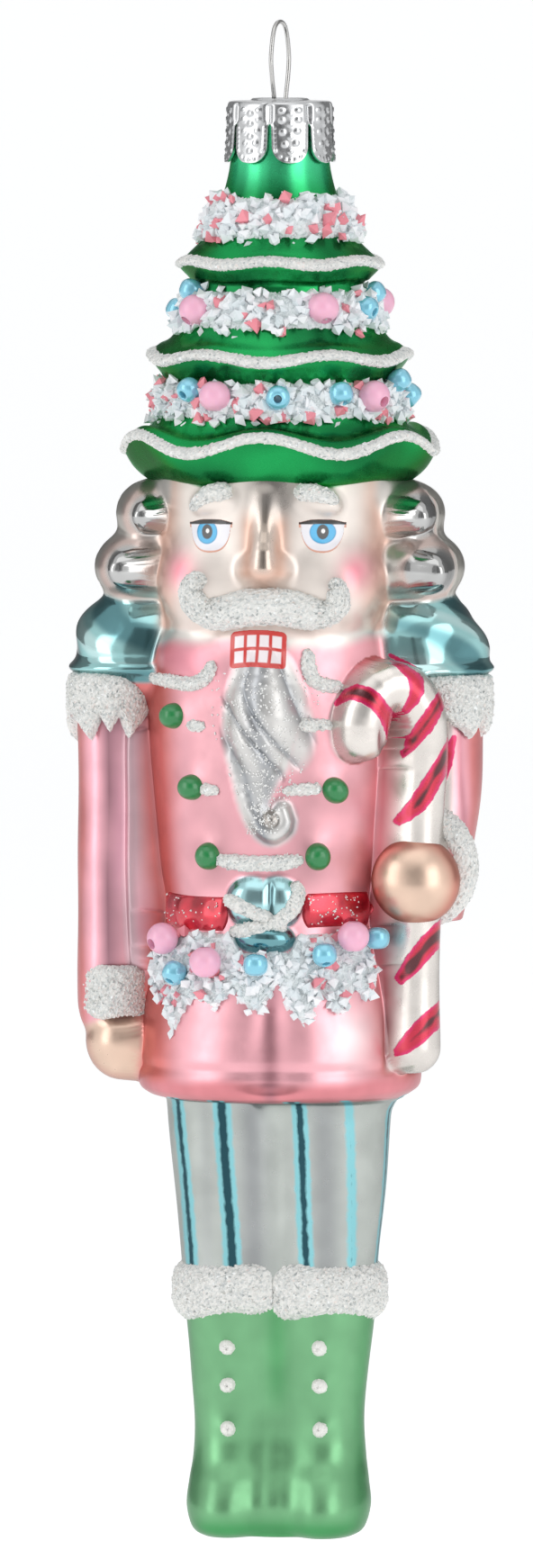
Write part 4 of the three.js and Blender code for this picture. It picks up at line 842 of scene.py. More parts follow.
# The cap is one stamped cup of thin plated steel. Slits part its skirt into eight petals, with rows of small
# dots pressed along their edges and a flute between every two. One round hole in its top has a raised rim.
CAP_FOOT, CAP_TOP, CAP_RADIUS, SHEET = 172.1, 179.8, 6.6, 0.3
SLIT_TOP, SLIT_HALF_WIDTH, PETAL_CORNER, PETALS = 176.9, 0.2, 2.1, 8
CAP_TURN = np.radians(18.6)
DOT_RISE, RING_RISE, DOT_GAP, FLUTE_DEPTH = 0.11, 0.17, 0.62, 0.42
PETAL_DOTS = [
    (0, 173.6), (-0.75, 174.5), (0.75, 174.6), (0, 175.4), (-1.0, 176.0), (0.95, 176.1), (0, 177.0),
    (-1.1, 177.5), (1.1, 177.5), (0, 178.3), (-1.1, 178.7), (1.1, 178.7),
]
cap_profile = smooth_curve([
    (CAP_FOOT, CAP_RADIUS + 0.38), (173.4, CAP_RADIUS + 0.22), (175.2, CAP_RADIUS + 0.1),
    (177.0, CAP_RADIUS + 0.04), (178.7, CAP_RADIUS), (179.45, CAP_RADIUS - 0.12), (179.76, CAP_RADIUS - 0.5),
    (CAP_TOP, CAP_RADIUS - 1.2), (CAP_TOP, 5.2), (CAP_TOP, 4.1), (179.86, 3.75), (180.08, 3.45),
    (180.12, 3.2), (179.98, 3.02), (179.6, 3.0),
], 150)


def petal_grid(turned):
    """One eighth of the cap as a closed sheet: across from slit to slit, and round its section from the foot
    up the outside to the hole and back down the inside."""
    z, r = cap_profile.T
    rise = z - CAP_FOOT
    gap = np.where(z < SLIT_TOP, (SLIT_HALF_WIDTH + 0.04 * (SLIT_TOP - z)) / r, 0.0)
    top_round = np.clip((SLIT_TOP - z) / SLIT_HALF_WIDTH, 0, 1)
    gap = gap * np.sqrt(1 - (1 - top_round) ** 2)
    corner = np.clip(1 - rise / PETAL_CORNER, 0, 1) * (np.arange(len(z)) < 60)
    gap = gap + PETAL_CORNER / r * (1 - np.sqrt(1 - corner**2))
    half = np.pi / PETALS - gap[:, None]
    u = np.sin(np.linspace(-np.pi / 2, np.pi / 2, 44))[None, :]
    angle = u * half
    arc = angle * CAP_RADIUS
    side = np.abs(arc) - (np.pi / PETALS - gap)[:, None] * CAP_RADIUS
    up = z[:, None]
    dots = sum(DOT_RISE * hump(side, -0.42, 0.16) * hump(up, h, 0.17) for h in np.arange(173.7, 177.2, 0.56))
    for c in np.arange(-3, 4) * DOT_GAP:
        h = CAP_FOOT + 0.42 + PETAL_CORNER - np.sqrt(PETAL_CORNER**2 - c**2)
        dots = dots + DOT_RISE * hump(arc, c, 0.16) * hump(up, h, 0.17)
    for c, h in PETAL_DOTS:
        dots = dots + RING_RISE * hump(np.hypot(arc - c, up - h), 0.2, 0.12)
    flute = -FLUTE_DEPTH * hump(np.abs(arc), np.pi / PETALS * CAP_RADIUS, 0.42)
    flute = flute * step(176.4, 177.6, up) * step(179.7, 179.1, up)
    out = r[:, None] + (dots + flute) * (up < 179.6)
    down = np.gradient(z)[:, None], np.gradient(r)[:, None]
    length = np.hypot(*down)
    inner_r, inner_z = out - SHEET * down[0] / length, up + SHEET * down[1] / length
    grid_r = np.vstack([out, inner_r[::-1]])
    grid_z = np.vstack([np.broadcast_to(up, out.shape), np.broadcast_to(inner_z, out.shape)[::-1]])
    a = np.vstack([angle, angle[::-1]]) + turned
    return round_axis(grid_r, a, grid_z)


def merged(name, grids, smooth=True, loop=False):
    """Several open grids of one size as one object, where loop joins each one's last row to its first."""
    rows, columns = grids[0].shape[:2]
    points = np.concatenate([g.reshape(-1, 3) for g in grids])
    faces = [grid_faces(rows, columns, False, loop) + i * rows * columns for i in range(len(grids))]
    return mesh_object(name, points, [np.concatenate(faces)], smooth)


petals = [petal_grid(CAP_TURN + 2 * np.pi * i / PETALS) for i in range(PETALS)]
cap_pieces = [merged("cap_shell", petals, loop=True)]
# The slits' cut edges are closed by short quads between the outer and the inner sheet.
cap_count = len(cap_profile)
for side, name in ((0, "cap_edges_left"), (-1, "cap_edges_right")):
    walls = [np.stack([grid[:cap_count, side], grid[cap_count:, side][::-1]], 1) for grid in petals]
    cap_pieces.append(merged(name, [w[:, ::-1] for w in walls] if side == 0 else walls, smooth=False))
plate = grained("plated_cap", "c4c5c6", 1.0, 900.0, 0.35, 0.14, 0.34)
for piece in cap_pieces:
    dress(piece, plate, "hanger_cap", "cap")


# The hanger is one bent spring wire: an oval loop to hang by, and two legs that splay inside the neck.
WIRE_RADIUS = 0.27
LOOP_TURN = np.radians(-11)
wire_side = [
    (3.89, 159.3), (4.39, 163.4), (3.99, 168.5), (3.4, 174.7), (2.42, 179.2), (2.42, 180.5), (3.15, 182.8),
    (3.5, 185.4), (2.3, 188.7),
]
wire_keys = wire_side + [(0, 189.64)] + [(-u, z) for u, z in wire_side[::-1]]


def rod(name, keys, sides, count, smooth=True, jitter=0.0, seed=0):
    """A round bar with domed ends along a smooth path. Keys are x, y, z and radius. The section's axes come
    from the path and a fixed upright, and jitter moves each point at random."""
    line = smooth_curve(keys, count)
    tangent = np.gradient(line[:, :3], axis=0)
    tangent /= np.linalg.norm(tangent, axis=1, keepdims=True)
    across = np.cross(tangent, (0, -1.0, 0.02))
    across /= np.linalg.norm(across, axis=1, keepdims=True)
    outward = np.cross(across, tangent)
    span = np.linalg.norm(np.gradient(line[:, :3], axis=0), axis=1).cumsum()
    end = np.minimum(span - span[0], span[-1] - span) / np.maximum(line[:, 3], 1e-3)
    swell = np.sqrt(np.clip(1 - (1 - np.clip(end, 0, 1)) ** 2, 0.02, 1)) * line[:, 3]
    psi = full_turn(sides)
    ring = across[:, None, :] * np.cos(psi)[None, :, None] + outward[:, None, :] * np.sin(psi)[None, :, None]
    grid = line[:, None, :3] + swell[:, None, None] * ring
    if jitter:
        grid = grid + np.random.default_rng(seed).normal(0, jitter, grid.shape)
    return surface(name, grid, foot=line[0, :3], top=line[-1, :3], smooth=smooth)


wire_points = [(-u * np.sin(LOOP_TURN), u * np.cos(LOOP_TURN), z, WIRE_RADIUS) for u, z in wire_keys]
wire_piece = rod("hanger_wire_bent", wire_points, 16, 360)
wire_finish = grained("spring_wire", "b9b8b6", 1.0, 1400.0, 0.35, 0.18, 0.36)
dress(wire_piece, wire_finish, "hanger_wire", "hanger")


# White glitter in glue makes the furs, the lines on the hat, the brows, the moustache and the piping. Each
# one is a thick bead of glue whose surface is broken into facets the size of the grains.
CELL = 0.23
glitter_finish, glitter_tree, glitter_shader = finish("white_glitter", (0.85, 0.85, 0.85), {
    "Coat Weight": 0.2, "Coat Roughness": 0.15,
})
glitter_at = node(glitter_tree, "TexCoord").outputs["Object"]
glitter_cells = node(glitter_tree, "TexVoronoi", {"Vector": glitter_at, "Scale": 3600.0})
glitter_pick = node(glitter_tree, "SeparateColor", {0: glitter_cells.outputs["Color"]})
glitter_ramp = node(glitter_tree, "ValToRGB", {0: glitter_pick.outputs[0]})
GLITTER_STOPS = [
    (0.0, "aaaead"), (0.02, "c2c5c4"), (0.1, "d6d7d4"), (0.5, "e2e1dd"), (0.9, "cdd0ce"), (0.96, "e2d8d3"),
    (0.98, "eef0ef"),
]
ramp = glitter_ramp.color_ramp
ramp.interpolation = "CONSTANT"
while len(ramp.elements) < len(GLITTER_STOPS):
    ramp.elements.new(0.5)
for element, (place, code) in zip(ramp.elements, GLITTER_STOPS):
    element.position = place
    element.color = (*srgb(code), 1)
glitter_rough = ranged(glitter_pick.outputs[1], 0, 1, 0.12, 0.5)
feed(glitter_shader, {"Base Color": glitter_ramp.outputs[0], "Roughness": glitter_rough})


def glitter(piece, node_name):
    """Makes a piece of white glitter that stands for one CAD node."""
    dress(piece, glitter_finish, node_name)


def band(name, skin, low, high, thick, seed, columns, grain=0.085, dent=0.5, flat=3.5):
    """A thick ring of glue round a body, closed in its section: out over a bulge and back inside the skin.
    skin gives points at an angle, a height and a lift, low and high give its edges at each angle, and a
    higher flat squares its section."""
    angle = full_turn(columns, -np.pi)
    bottom, top = low + 0 * angle, high + 0 * angle
    rows = max(6, int(np.mean(top - bottom) / CELL) + 4)
    v = np.concatenate([np.linspace(0, 1, rows), [0.97, 0.5, 0.03]])[:, None]
    z = bottom + (top - bottom) * v
    bulge = (1 - np.abs(2 * v - 1) ** flat) * (thick + dent) - dent
    lift = np.where(np.arange(len(v))[:, None] < rows, bulge, -dent - 0.25)
    random = np.random.default_rng(seed)
    a = angle + 0 * z + random.normal(0, grain / 12, z.shape)
    lift = lift + random.normal(0, grain, z.shape)
    return surface(name, skin(a, z + random.normal(0, grain * 0.8, z.shape), lift), loop=True, smooth=False)


def oval_skin(cx, half_width, front, back):
    """A skin function for an upright oval post at side cx."""
    def skin(angle, z, lift):
        depth = np.where(np.cos(angle) > 0, front, back) + lift
        return np.stack([cx + (half_width + lift) * np.sin(angle), -depth * np.cos(angle), z], -1)
    return skin


def icicles(angle_count, teeth, drop, seed):
    """A jagged edge: teeth of uneven width and depth, as the distance that each direction hangs down."""
    random = np.random.default_rng(seed)
    at = np.linspace(0, teeth, angle_count, endpoint=False)
    at = at + 0.3 * np.sin(2 * np.pi * at / teeth * 3 + seed)
    deep = random.uniform(0.45, 1.0, teeth + 2)
    i = np.clip(at.astype(int), 0, teeth)
    t = at - np.floor(at)
    return drop * deep[i] * (1 - np.abs(2 * t - 1)) ** 0.8


SIDES = ((-1, "left"), (1, "right"))
fur_columns, cuff_columns = int(46 / CELL), int(40 / CELL)
for side, word in SIDES:
    skin = oval_skin(side * 20.5, 5.4, 8.0, 6.9)
    foot = 103.0 - icicles(fur_columns, 9, 4.2, 4 + side)
    fur = band(f"shoulder_fur_grains_{word}", skin, foot, 108.5, 0.95, 21 + side, fur_columns, flat=6)
    glitter(fur, f"shoulder_fur_{word}")
cuff_foot = 65.1 + 0.25 * np.sin(np.linspace(0, 25, cuff_columns))
cuff_skin = oval_skin(-20.1, 4.5, 6.6, 6.2)
cuff = band("cuff_fur_grains_left", cuff_skin, cuff_foot, 71.7, 0.5, 31, cuff_columns, dent=0.25, flat=8)
glitter(cuff, "cuff_fur_left")


def boot_skin(side):
    """A skin function for the fur round one boot, pressed flat where it meets the other boot's."""
    def skin(angle, z, lift):
        inward = side * np.sin(angle) < 0
        x = side * 6.3 + np.where(inward, 8.6, 6.0 + lift) * np.sin(angle)
        x = side * np.maximum(side * x, 0.02)
        depth = np.sign(np.cos(angle)) * np.abs(np.cos(angle)) ** np.where(inward, 0.5, 1.0)
        return np.stack([x, -(7.1 + lift + 0.05 * (z - 31)) * depth, z], -1)
    return skin


for side, word in SIDES:
    skin = boot_skin(side)
    foot = 27.5 + 0.5 * np.sin(np.linspace(0, 14, fur_columns))
    fur = band(f"boot_fur_grains_{word}", skin, foot, 34.6, 1.25, 41 + side, fur_columns, grain=0.09)
    glitter(fur, f"boot_fur_{word}")

# The raised hand's cuff is a ring of its own round the wrist, turned a little towards the cane.
ring_out, tube_out = full_turn(int(36 / CELL))[None, :], full_turn(int(12 / CELL))[:, None]
CUFF_THICK = 2.1
cuff_x = (4.9 + CUFF_THICK * np.cos(tube_out)) * np.cos(ring_out)
cuff_z = (5.6 + CUFF_THICK * np.cos(tube_out)) * np.sin(ring_out)
cuff_y = CUFF_THICK * np.sin(tube_out) + 0 * ring_out
cuff_swing = np.radians(-16)
cuff_grid = np.stack([
    19.0 + cuff_x * np.cos(cuff_swing) - cuff_y * np.sin(cuff_swing),
    -5.2 + cuff_x * np.sin(cuff_swing) + cuff_y * np.cos(cuff_swing), 84.5 + cuff_z,
], -1)
cuff_grid += np.random.default_rng(51).normal(0, 0.07, cuff_grid.shape)
cuff_right = surface("cuff_fur_grains_right", cuff_grid, loop=True, smooth=False)
glitter(cuff_right, "cuff_fur_right")

for word, height, thick in (("low", 137.3, 0.55), ("middle", 148.0, 0.5), ("top", 159.8, 0.45)):
    low, high, columns = height - 0.95, height + 0.85, int(100 / CELL)
    line = band(f"hat_line_grains_{word}", hat_skin, low, high, thick, int(height), columns, grain=0.06)
    glitter(line, f"hat_line_{word}")


def dab(name, keys, seed, lift=0.0, grain=0.085):
    """A stroke of glitter laid over the front of the shell. Keys are side, height and half width."""
    line = smooth_curve(keys, 14)
    points = on_front(line[:, 0], line[:, 1], lift)
    path = np.column_stack([points, line[:, 2]])
    length = np.linalg.norm(np.diff(points, axis=0), axis=1).sum()
    sides = max(8, int(6.3 * line[:, 2].max() / CELL))
    return rod(name, path, sides, max(8, int(length / CELL)), False, grain, seed)


BROWS = {
    "brow_left": [
        (-9.0, 129.2, 0.45), (-8.3, 130.2, 0.75), (-6.9, 131.1, 1.1), (-5.3, 131.4, 1.25), (-4.1, 131.0, 0.8),
    ],
    "brow_right": [
        (3.7, 131.2, 0.8), (4.9, 131.4, 1.1), (6.5, 131.3, 1.15), (8.0, 130.8, 0.95), (9.1, 130.2, 0.4),
    ],
}
for i, (node_name, keys) in enumerate(BROWS.items()):
    glitter(dab(node_name + "_grains", keys, 61 + i, 0.1), node_name)
MOUSTACHE = [
    (-7.1, 120.5, 0.8), (-8.4, 120.3, 1.25), (-9.1, 119.2, 1.45), (-8.5, 117.5, 1.7), (-6.7, 116.2, 1.85),
    (-3.8, 116.6, 2.35), (0.1, 117.4, 2.2), (4.0, 116.8, 2.4), (7.0, 116.3, 1.75), (8.8, 117.1, 1.55),
    (9.2, 118.7, 1.4), (9.0, 119.8, 1.1), (8.1, 120.1, 0.7),
]
glitter(dab("moustache_grains", MOUSTACHE, 65, 0.2), "moustache")
PIPING = {
    "piping_shoulder_left": [
        (-15.3, 107.9, 0.7), (-12.4, 107.7, 0.85), (-9.25, 107.5, 0.9), (-7.3, 108.4, 0.9),
        (-6.2, 110.4, 0.7),
    ],
    "piping_shoulder_right": [
        (5.6, 112.0, 0.7), (5.6, 109.9, 0.95), (6.5, 107.95, 0.95), (8.3, 107.4, 0.85), (10.0, 107.0, 0.6),
    ],
    "piping_row_1_left": [(-9.8, 102.2, 0.6), (-8.7, 102.3, 0.75), (-7.4, 102.2, 0.6)],
    "piping_row_1_right": [(4.7, 102.6, 0.9), (6.2, 102.6, 0.85), (8.6, 102.5, 0.5)],
    "piping_row_2_left": [(-8.0, 94.5, 0.8), (-6.8, 94.4, 0.75), (-5.6, 94.3, 0.55)],
    "piping_row_2_right": [(2.5, 94.3, 0.45), (4.4, 94.5, 0.75), (7.2, 94.6, 0.75)],
    "piping_row_3": [
        (-6.0, 85.8, 0.7), (-3.6, 85.4, 1.0), (-0.4, 85.3, 0.95), (2.6, 85.4, 0.95), (5.0, 85.8, 0.65),
    ],
}
for i, (node_name, keys) in enumerate(PIPING.items()):
    glitter(dab(node_name + "_grains", keys, 71 + i), node_name)
BOW_STROKES = [
    [(-4.5, 80.9, 0.8), (-2.8, 80.1, 0.9), (-0.9, 79.2, 0.85), (1.0, 78.2, 0.9), (2.9, 77.2, 0.7)],
    [
        (3.9, 83.0, 0.8), (4.3, 81.0, 0.95), (3.0, 78.9, 0.9), (0.6, 77.7, 0.8), (-2.2, 77.0, 0.9),
        (-4.2, 76.7, 0.6),
    ],
]
for i, keys in enumerate(BOW_STROKES, 1):
    glitter(dab(f"buckle_grains_{i}", keys, 84 + i, 0.1), "buckle_glitter")


# Crushed glass, opalescent white with pink chips mixed in, is glued in three bands on the hat and in a ragged
# fringe under the belt. Each chip is an uneven eight-sided crystal over a milky bed of glue.
def chips(name, spots, low, high, seed, pink):
    """Small crystals in one mesh: six corners on three random axes of uneven length round each spot."""
    random = np.random.default_rng(seed)
    count = len(spots)
    axes = np.linalg.qr(random.normal(size=(count, 3, 3)))[0]
    stout = np.sort(random.uniform(0.55, 1.0, (count, 3, 1)), axis=1)
    tint = np.where(random.uniform(size=count) < pink, 1.0, random.uniform(0, 0.35, count))
    size = random.uniform(low, high, (count, 1, 1)) * stout * 0.5 * (1 + 0.25 * (tint > 0.5))[:, None, None]
    arms = axes * size
    corners = np.concatenate([arms, -arms], 1) * random.uniform(0.75, 1.25, (count, 6, 1))
    points = spots[:, None, :] + corners
    round_waist = ((0, 1), (1, 3), (3, 4), (4, 0))
    octahedron = np.array([(a, b, 2) for a, b in round_waist] + [(b, a, 5) for a, b in round_waist])
    mirrored = np.linalg.det(axes)[:, None, None] < 0
    faces = np.where(mirrored, octahedron[:, ::-1], octahedron) + 6 * np.arange(count)[:, None, None]
    piece = mesh_object(name, points.reshape(-1, 3), [faces.reshape(-1, 3)], smooth=False)
    layer(piece, "tint", np.repeat(tint, 6))
    return piece


crystal, crystal_tree, crystal_shader = finish("crushed_glass", (0.85, 0.83, 0.84), {
    "Roughness": 0.45, "Coat Weight": 0.15, "Coat Roughness": 0.1,
})
tint_in = attribute(crystal_tree, "tint")
chip_white = blend_colours(ranged(tint_in, 0.0, 0.35), "f4f4f6", "d9e2e5")
chip_colour = blend_colours(ranged(tint_in, 0.8, 0.95), chip_white, "ea8d99")
feed(crystal_shader, {"Base Color": chip_colour})
bed, bed_tree, bed_shader = finish("milky_glue", "d9cfd2", {"Roughness": 0.35, "Coat Weight": 0.3})
feed(bed_shader, {"Base Color": blend_colours(noise(bed_tree, 1500.0), "cfd8d9", "eceff0")})
CHIP_DENSITY = 1.5
# Each band of snow is its low and high edge, the depth at both, its mean radius and the share of pink chips.
SNOW_BANDS = {
    "low": (139.7, 145.1, 0.0, 0.7, 16.4, 0.1), "middle": (151.1, 156.3, 0.4, 0.9, 13.2, 0.05),
    "top": (162.4, 168.2, 0.5, 1.0, 9.4, 0.12),
}


def snow_skin(low, high, low_thick, high_thick):
    """A skin function over the hat: the glass plus the snow's depth, straight-lined between its two edges."""
    r_low, r_high = np.interp((low, high), *hat_line[:HAT_ROWS, :2].T) + (low_thick, high_thick)

    def skin(angle, z, lift):
        r = r_low + (r_high - r_low) * np.clip((z - low) / (high - low), 0, 1) + lift
        return round_axis(r, angle, z, HAT_DEPTH_SHARE)

    return skin


for word, (low, high, low_thick, high_thick, mean_radius, pink_share) in SNOW_BANDS.items():
    skin = snow_skin(low, high, low_thick, high_thick)
    seed = int(low)
    columns = int(6.2 * mean_radius / CELL)
    base = band(f"snow_bed_{word}", skin, low, high, 0.0, seed, columns, grain=0.1, dent=1.2)
    dress(base, bed, f"hat_snow_{word}")
    random = np.random.default_rng(seed + 1)
    count = int(CHIP_DENSITY * 4.6 * mean_radius * (high - low))
    a = random.uniform(-np.pi, np.pi, count)
    z = low + (high - low) * random.uniform(0, 1, count) + random.normal(0, 0.3, count)
    edge_share = np.abs(2 * (z - low) / (high - low) - 1)
    spots = skin(a, z, random.normal(0.15, 0.2, count) - 0.5 * np.clip(edge_share, 0, 1.1) ** 5)
    made = chips(f"snow_chips_{word}", spots, 1.5, 2.5, seed + 2, pink_share)
    dress(made, crystal, f"hat_snow_{word}")


def coat_skin(angle, z, lift):
    """The shell's own skin at an angle and a height."""
    r = radius_at(angle, np.clip(z, 0.0, levels[-1])) + lift
    return round_axis(r, angle, z)


# The fringe's lower edge, from tip to notch: angle from the front in degrees and height.
FRINGE_KEYS = [
    (-64, 70.5), (-56, 68.3), (-50, 67.0), (-45, 63.9), (-41, 63.5), (-36, 66.6), (-30, 68.9), (-25, 67.2),
    (-20, 67.0), (-12, 69.4), (-6, 66.8), (-1, 66.4), (6.5, 70.2), (13, 66.4), (17.5, 64.7), (20.5, 66.0),
    (24.5, 69.0), (30, 66.4), (34, 66.3), (41, 69.1), (46, 68.1), (51, 68.4), (55, 70.5),
]
FRINGE_KEYS += [(112 + 4 * i, 68.6 if i % 2 else 65.6 + 0.8 * np.sin(2.4 * i)) for i in range(36)]
FRINGE_RADIUS = 17.5


def fringe_edge(angle_deg):
    """The fringe's lower edge, straight-lined between its tips and notches."""
    return np.interp(angle_deg, *np.array(FRINGE_KEYS).T)


def fringe_top(angle_deg):
    """The fringe's upper edge: level below the belt, and lower under the bow."""
    return 76.6 - 2.3 * step(15, 10, np.abs(angle_deg - 1.0))


random = np.random.default_rng(91)
for name, first, last in (("fringe_front", -64.0, 52.0), ("fringe_back", 114.0, 246.0)):
    arc = np.radians(last - first) * FRINGE_RADIUS
    count = int(CHIP_DENSITY * 0.85 * arc * 9)
    deg = random.uniform(first, last, count)
    top_edge, low_edge = fringe_top(deg), fringe_edge(deg)
    z = low_edge + (top_edge - low_edge) * random.uniform(0, 1, count)
    thick = 1.5 * np.clip((z - low_edge) / 1.5, 0.25, 1)
    spots = coat_skin(np.radians(deg), z, thick * random.uniform(0.15, 1.0, count))
    made = chips(name + "_chips", spots, 1.3, 2.2, 92, 0.05)
    dress(made, crystal, "belt_fringe")
    deg = np.linspace(first, last, int(arc / CELL))
    v = np.linspace(0, 1, int(10 / CELL))[:, None]
    sheet_z = fringe_edge(deg) + (fringe_top(deg) - fringe_edge(deg)) * v
    lift = 0.95 * np.clip(np.minimum(v * 6, (1 - v) * 14), 0, 1) * np.ones_like(sheet_z) - 0.25
    lift[:, [0, -1]] = -0.3
    lift = lift + random.normal(0, 0.09, lift.shape)
    sheet = coat_skin(np.radians(deg) + 0 * sheet_z, sheet_z, lift)
    bed_piece = surface(name + "_bed", sheet, wrap=False, smooth=False)
    dress(bed_piece, bed, "belt_fringe")


# Seed beads are pressed into the snow and the fringe: opaque pink ones and smaller pearly blue barrels.
# Each bead is its colour, its angle from the front, its height and the tip of its hole, in degrees and mm.
BEADS = {
    "low": [
        ("blue", -38, 143.4, 30), ("pink", -23, 142.7, 90), ("blue", 6, 142.6, 8), ("blue", 35, 143.0, 60),
        ("pink", 53, 142.6, 20), ("blue", 76, 144.4, 60), ("blue", 94, 142.4, 40),
    ],
    "middle": [
        ("blue", -64, 156.0, 70), ("blue", -86, 153.4, 60), ("pink", -49, 153.6, 45), ("pink", 32, 154.0, 60),
        ("blue", 66, 153.8, 20), ("blue", 88, 155.6, 60), ("pink", 106, 154.3, 60),
    ],
    "belt": [
        ("pink", -47, 75.6, 20), ("blue", -40, 71.4, 50), ("pink", -23.5, 73.0, 90), ("blue", -2, 72.8, 90),
        ("blue", 26, 74.0, 60), ("pink", 38.5, 76.2, 90), ("blue", 51, 75.8, 90),
    ],
}
BEAD_RADIUS, BEAD_RISE = {"pink": 2.0, "blue": 1.55}, {"low": 0.6, "middle": 0.2, "belt": 0.0}
bead_finish = {
    "pink": finish("pink_bead", "eeb2cb", {
        "Roughness": 0.3, "Coat Weight": 0.3, "Subsurface Weight": 0.1, "Subsurface Scale": 0.001,
    })[0],
    "blue": finish("blue_bead", "80c8de", {
        "Roughness": 0.2, "Coat Weight": 1.0, "Coat Roughness": 0.04, "Metallic": 0.25,
    })[0],
}


def bead_ring(level_name, z):
    """Half width, front and back reach of the ring that the beads sit on."""
    if level_name == "belt":
        return 17.2, 18.1, 16.4
    ends = {"low": (139.3, 144.8, 16.1, 15.3), "middle": (150.3, 156.6, 13.5, 10.9)}[level_name]
    wide = np.interp(z, ends[:2], ends[2:])
    return wide, wide * HAT_DEPTH_SHARE, wide * HAT_DEPTH_SHARE


def bead_grid(r, kind):
    """A bead as a closed ring: a rounded section turned round the hole's axis, which lies along Y."""
    power, length = (2.0, 0.92) if kind == "pink" else (2.5, 0.85)
    t = np.sin(np.linspace(-np.pi / 2, np.pi / 2, 18))
    out_r = r * (1 - np.abs(0.94 * t) ** power) ** (1 / power)
    bore = 0.33 * r
    section_r = np.concatenate([out_r, [bore * 1.08, bore, bore, bore * 1.08]])[:, None]
    along = length * r * np.concatenate([t, [0.985, 0.9, -0.9, -0.985]])[:, None]
    a = full_turn(26)[None, :]
    return np.stack([section_r * np.cos(a), along + 0 * a, section_r * np.sin(a)], -1)


for level_name, beads in BEADS.items():
    for i, (kind, turn_deg, height, tip_deg) in enumerate(beads, 1):
        r = BEAD_RADIUS[kind]
        wide, fore, aft = bead_ring(level_name, height)
        a, tip = np.radians(turn_deg), np.radians(tip_deg)
        depth = (aft if abs(turn_deg) > 90 else fore) + 0.35 * r
        x, y, z = np.moveaxis(bead_grid(r, kind), -1, 0)
        y, z = y * np.cos(tip) - z * np.sin(tip), y * np.sin(tip) + z * np.cos(tip)
        x, y = x * np.cos(a) - y * np.sin(a), x * np.sin(a) + y * np.cos(a)
        centre = np.array([(wide + 0.35 * r) * np.sin(a), -depth * np.cos(a), height + BEAD_RISE[level_name]])
        grid = np.stack([x, y, z], -1) + centre
        piece = surface(f"seed_{level_name}_{i}", grid, loop=True)
        dress(piece, bead_finish[kind], f"bead_{level_name}_{i}")


# Drops of enamel: green buttons on the coat and rough white ones down the boots.
green_enamel = finish("green_enamel", "187d40", {
    "Roughness": 0.3, "Coat Weight": 0.5, "Coat Roughness": 0.12,
})[0]
white_enamel = grained("white_enamel", "ecebe6", 0.0, 4200.0, 0.3, 0.25, 0.6)


def drop(name, x, z, r, rise, grain=0.0, seed=0):
    """A domed drop on the front of the shell, slightly uneven, closed by a foot inside the glass."""
    centre = on_front(x, z)
    ahead = on_front(x + 0.4, z) - on_front(x - 0.4, z)
    above = on_front(x, z + 0.4) - on_front(x, z - 0.4)
    ahead, above = ahead / np.linalg.norm(ahead), above / np.linalg.norm(above)
    outward = np.cross(ahead, above)
    s = np.linspace(0, 1, 14)[:, None]
    a = full_turn(36)[None, :]
    wide = r * (1 + 0.04 * np.sin(2 * a + seed)) * np.cos(s * np.pi / 2 * 0.97) ** 0.8
    high = -0.5 + (rise + 0.5) * np.sin(s * np.pi / 2) + 0 * a
    grid = centre + wide[..., None] * (np.cos(a)[..., None] * ahead + np.sin(a)[..., None] * above)
    grid = grid + high[..., None] * outward
    grid += np.random.default_rng(seed).normal(0, grain, grid.shape) if grain else 0
    return surface(name, grid, foot=centre - 0.5 * outward, top=centre + rise * outward)


for i, (x, z) in enumerate(COAT_BUTTONS, 1):
    made = drop(f"coat_drop_{i}", x, z, 1.7, 1.6, seed=i)
    dress(made, green_enamel, f"coat_button_{i}")
for side, word in SIDES:
    for i, z in enumerate(BOOT_BUTTON_LEVELS, 1):
        made = drop(f"boot_drop_{word}_{i}", side * BOOT_BUTTON_SIDE, z, 1.0, 0.9, 0.035, 10 * i + side)
        dress(made, white_enamel, f"boot_button_{word}_{i}")


# Eyes and mouth are painted by hand on the moulded face. Each is a thin skin of paint that follows the glass,
# with its border let into it, and its picture is worked out in millimetres from its own middle.
face_paint, face_tree, face_shader = finish("face_paint", (0.8, 0.8, 0.8), {
    "Roughness": 0.25, "Coat Weight": 0.6,
})
feed(face_shader, {"Base Color": attribute(face_tree, "paint", "Color")})
PAINT_CELL, PAINT_LIFT, PAINT_SUNK, SOFT_EDGE = 0.07, 0.06, 0.12, 0.06


def painted_patch(name, middle, size, picture):
    """A patch of paint on the shell's front. picture gives colour and cover for sides and heights in mm."""
    u, v = (np.linspace(-s / 2, s / 2, int(s / PAINT_CELL)) for s in size)
    u, v = np.meshgrid(u, v)
    colour, cover = picture(u, v)
    cover = np.clip(2 * cover, 0, 1)
    grid = on_front(middle[0] + u, middle[1] + v, PAINT_LIFT * cover - PAINT_SUNK * (1 - cover))
    piece = surface(name, grid, wrap=False)
    layer(piece, "paint", colour.reshape(-1, 3))
    dress(piece, face_paint)


def inside(distance):
    """Cover of a shape from its signed distance, with a soft edge."""
    return step(SOFT_EDGE, -SOFT_EDGE, distance)


def painted(under, layers):
    """Colours of a picture: on a first hex colour, each layer's colour by its cover from 0 to 1."""
    colour = srgb(under)
    for cover, code in layers:
        colour = colour + np.clip(cover, 0, 1)[..., None] * (srgb(code) - colour)
    return colour


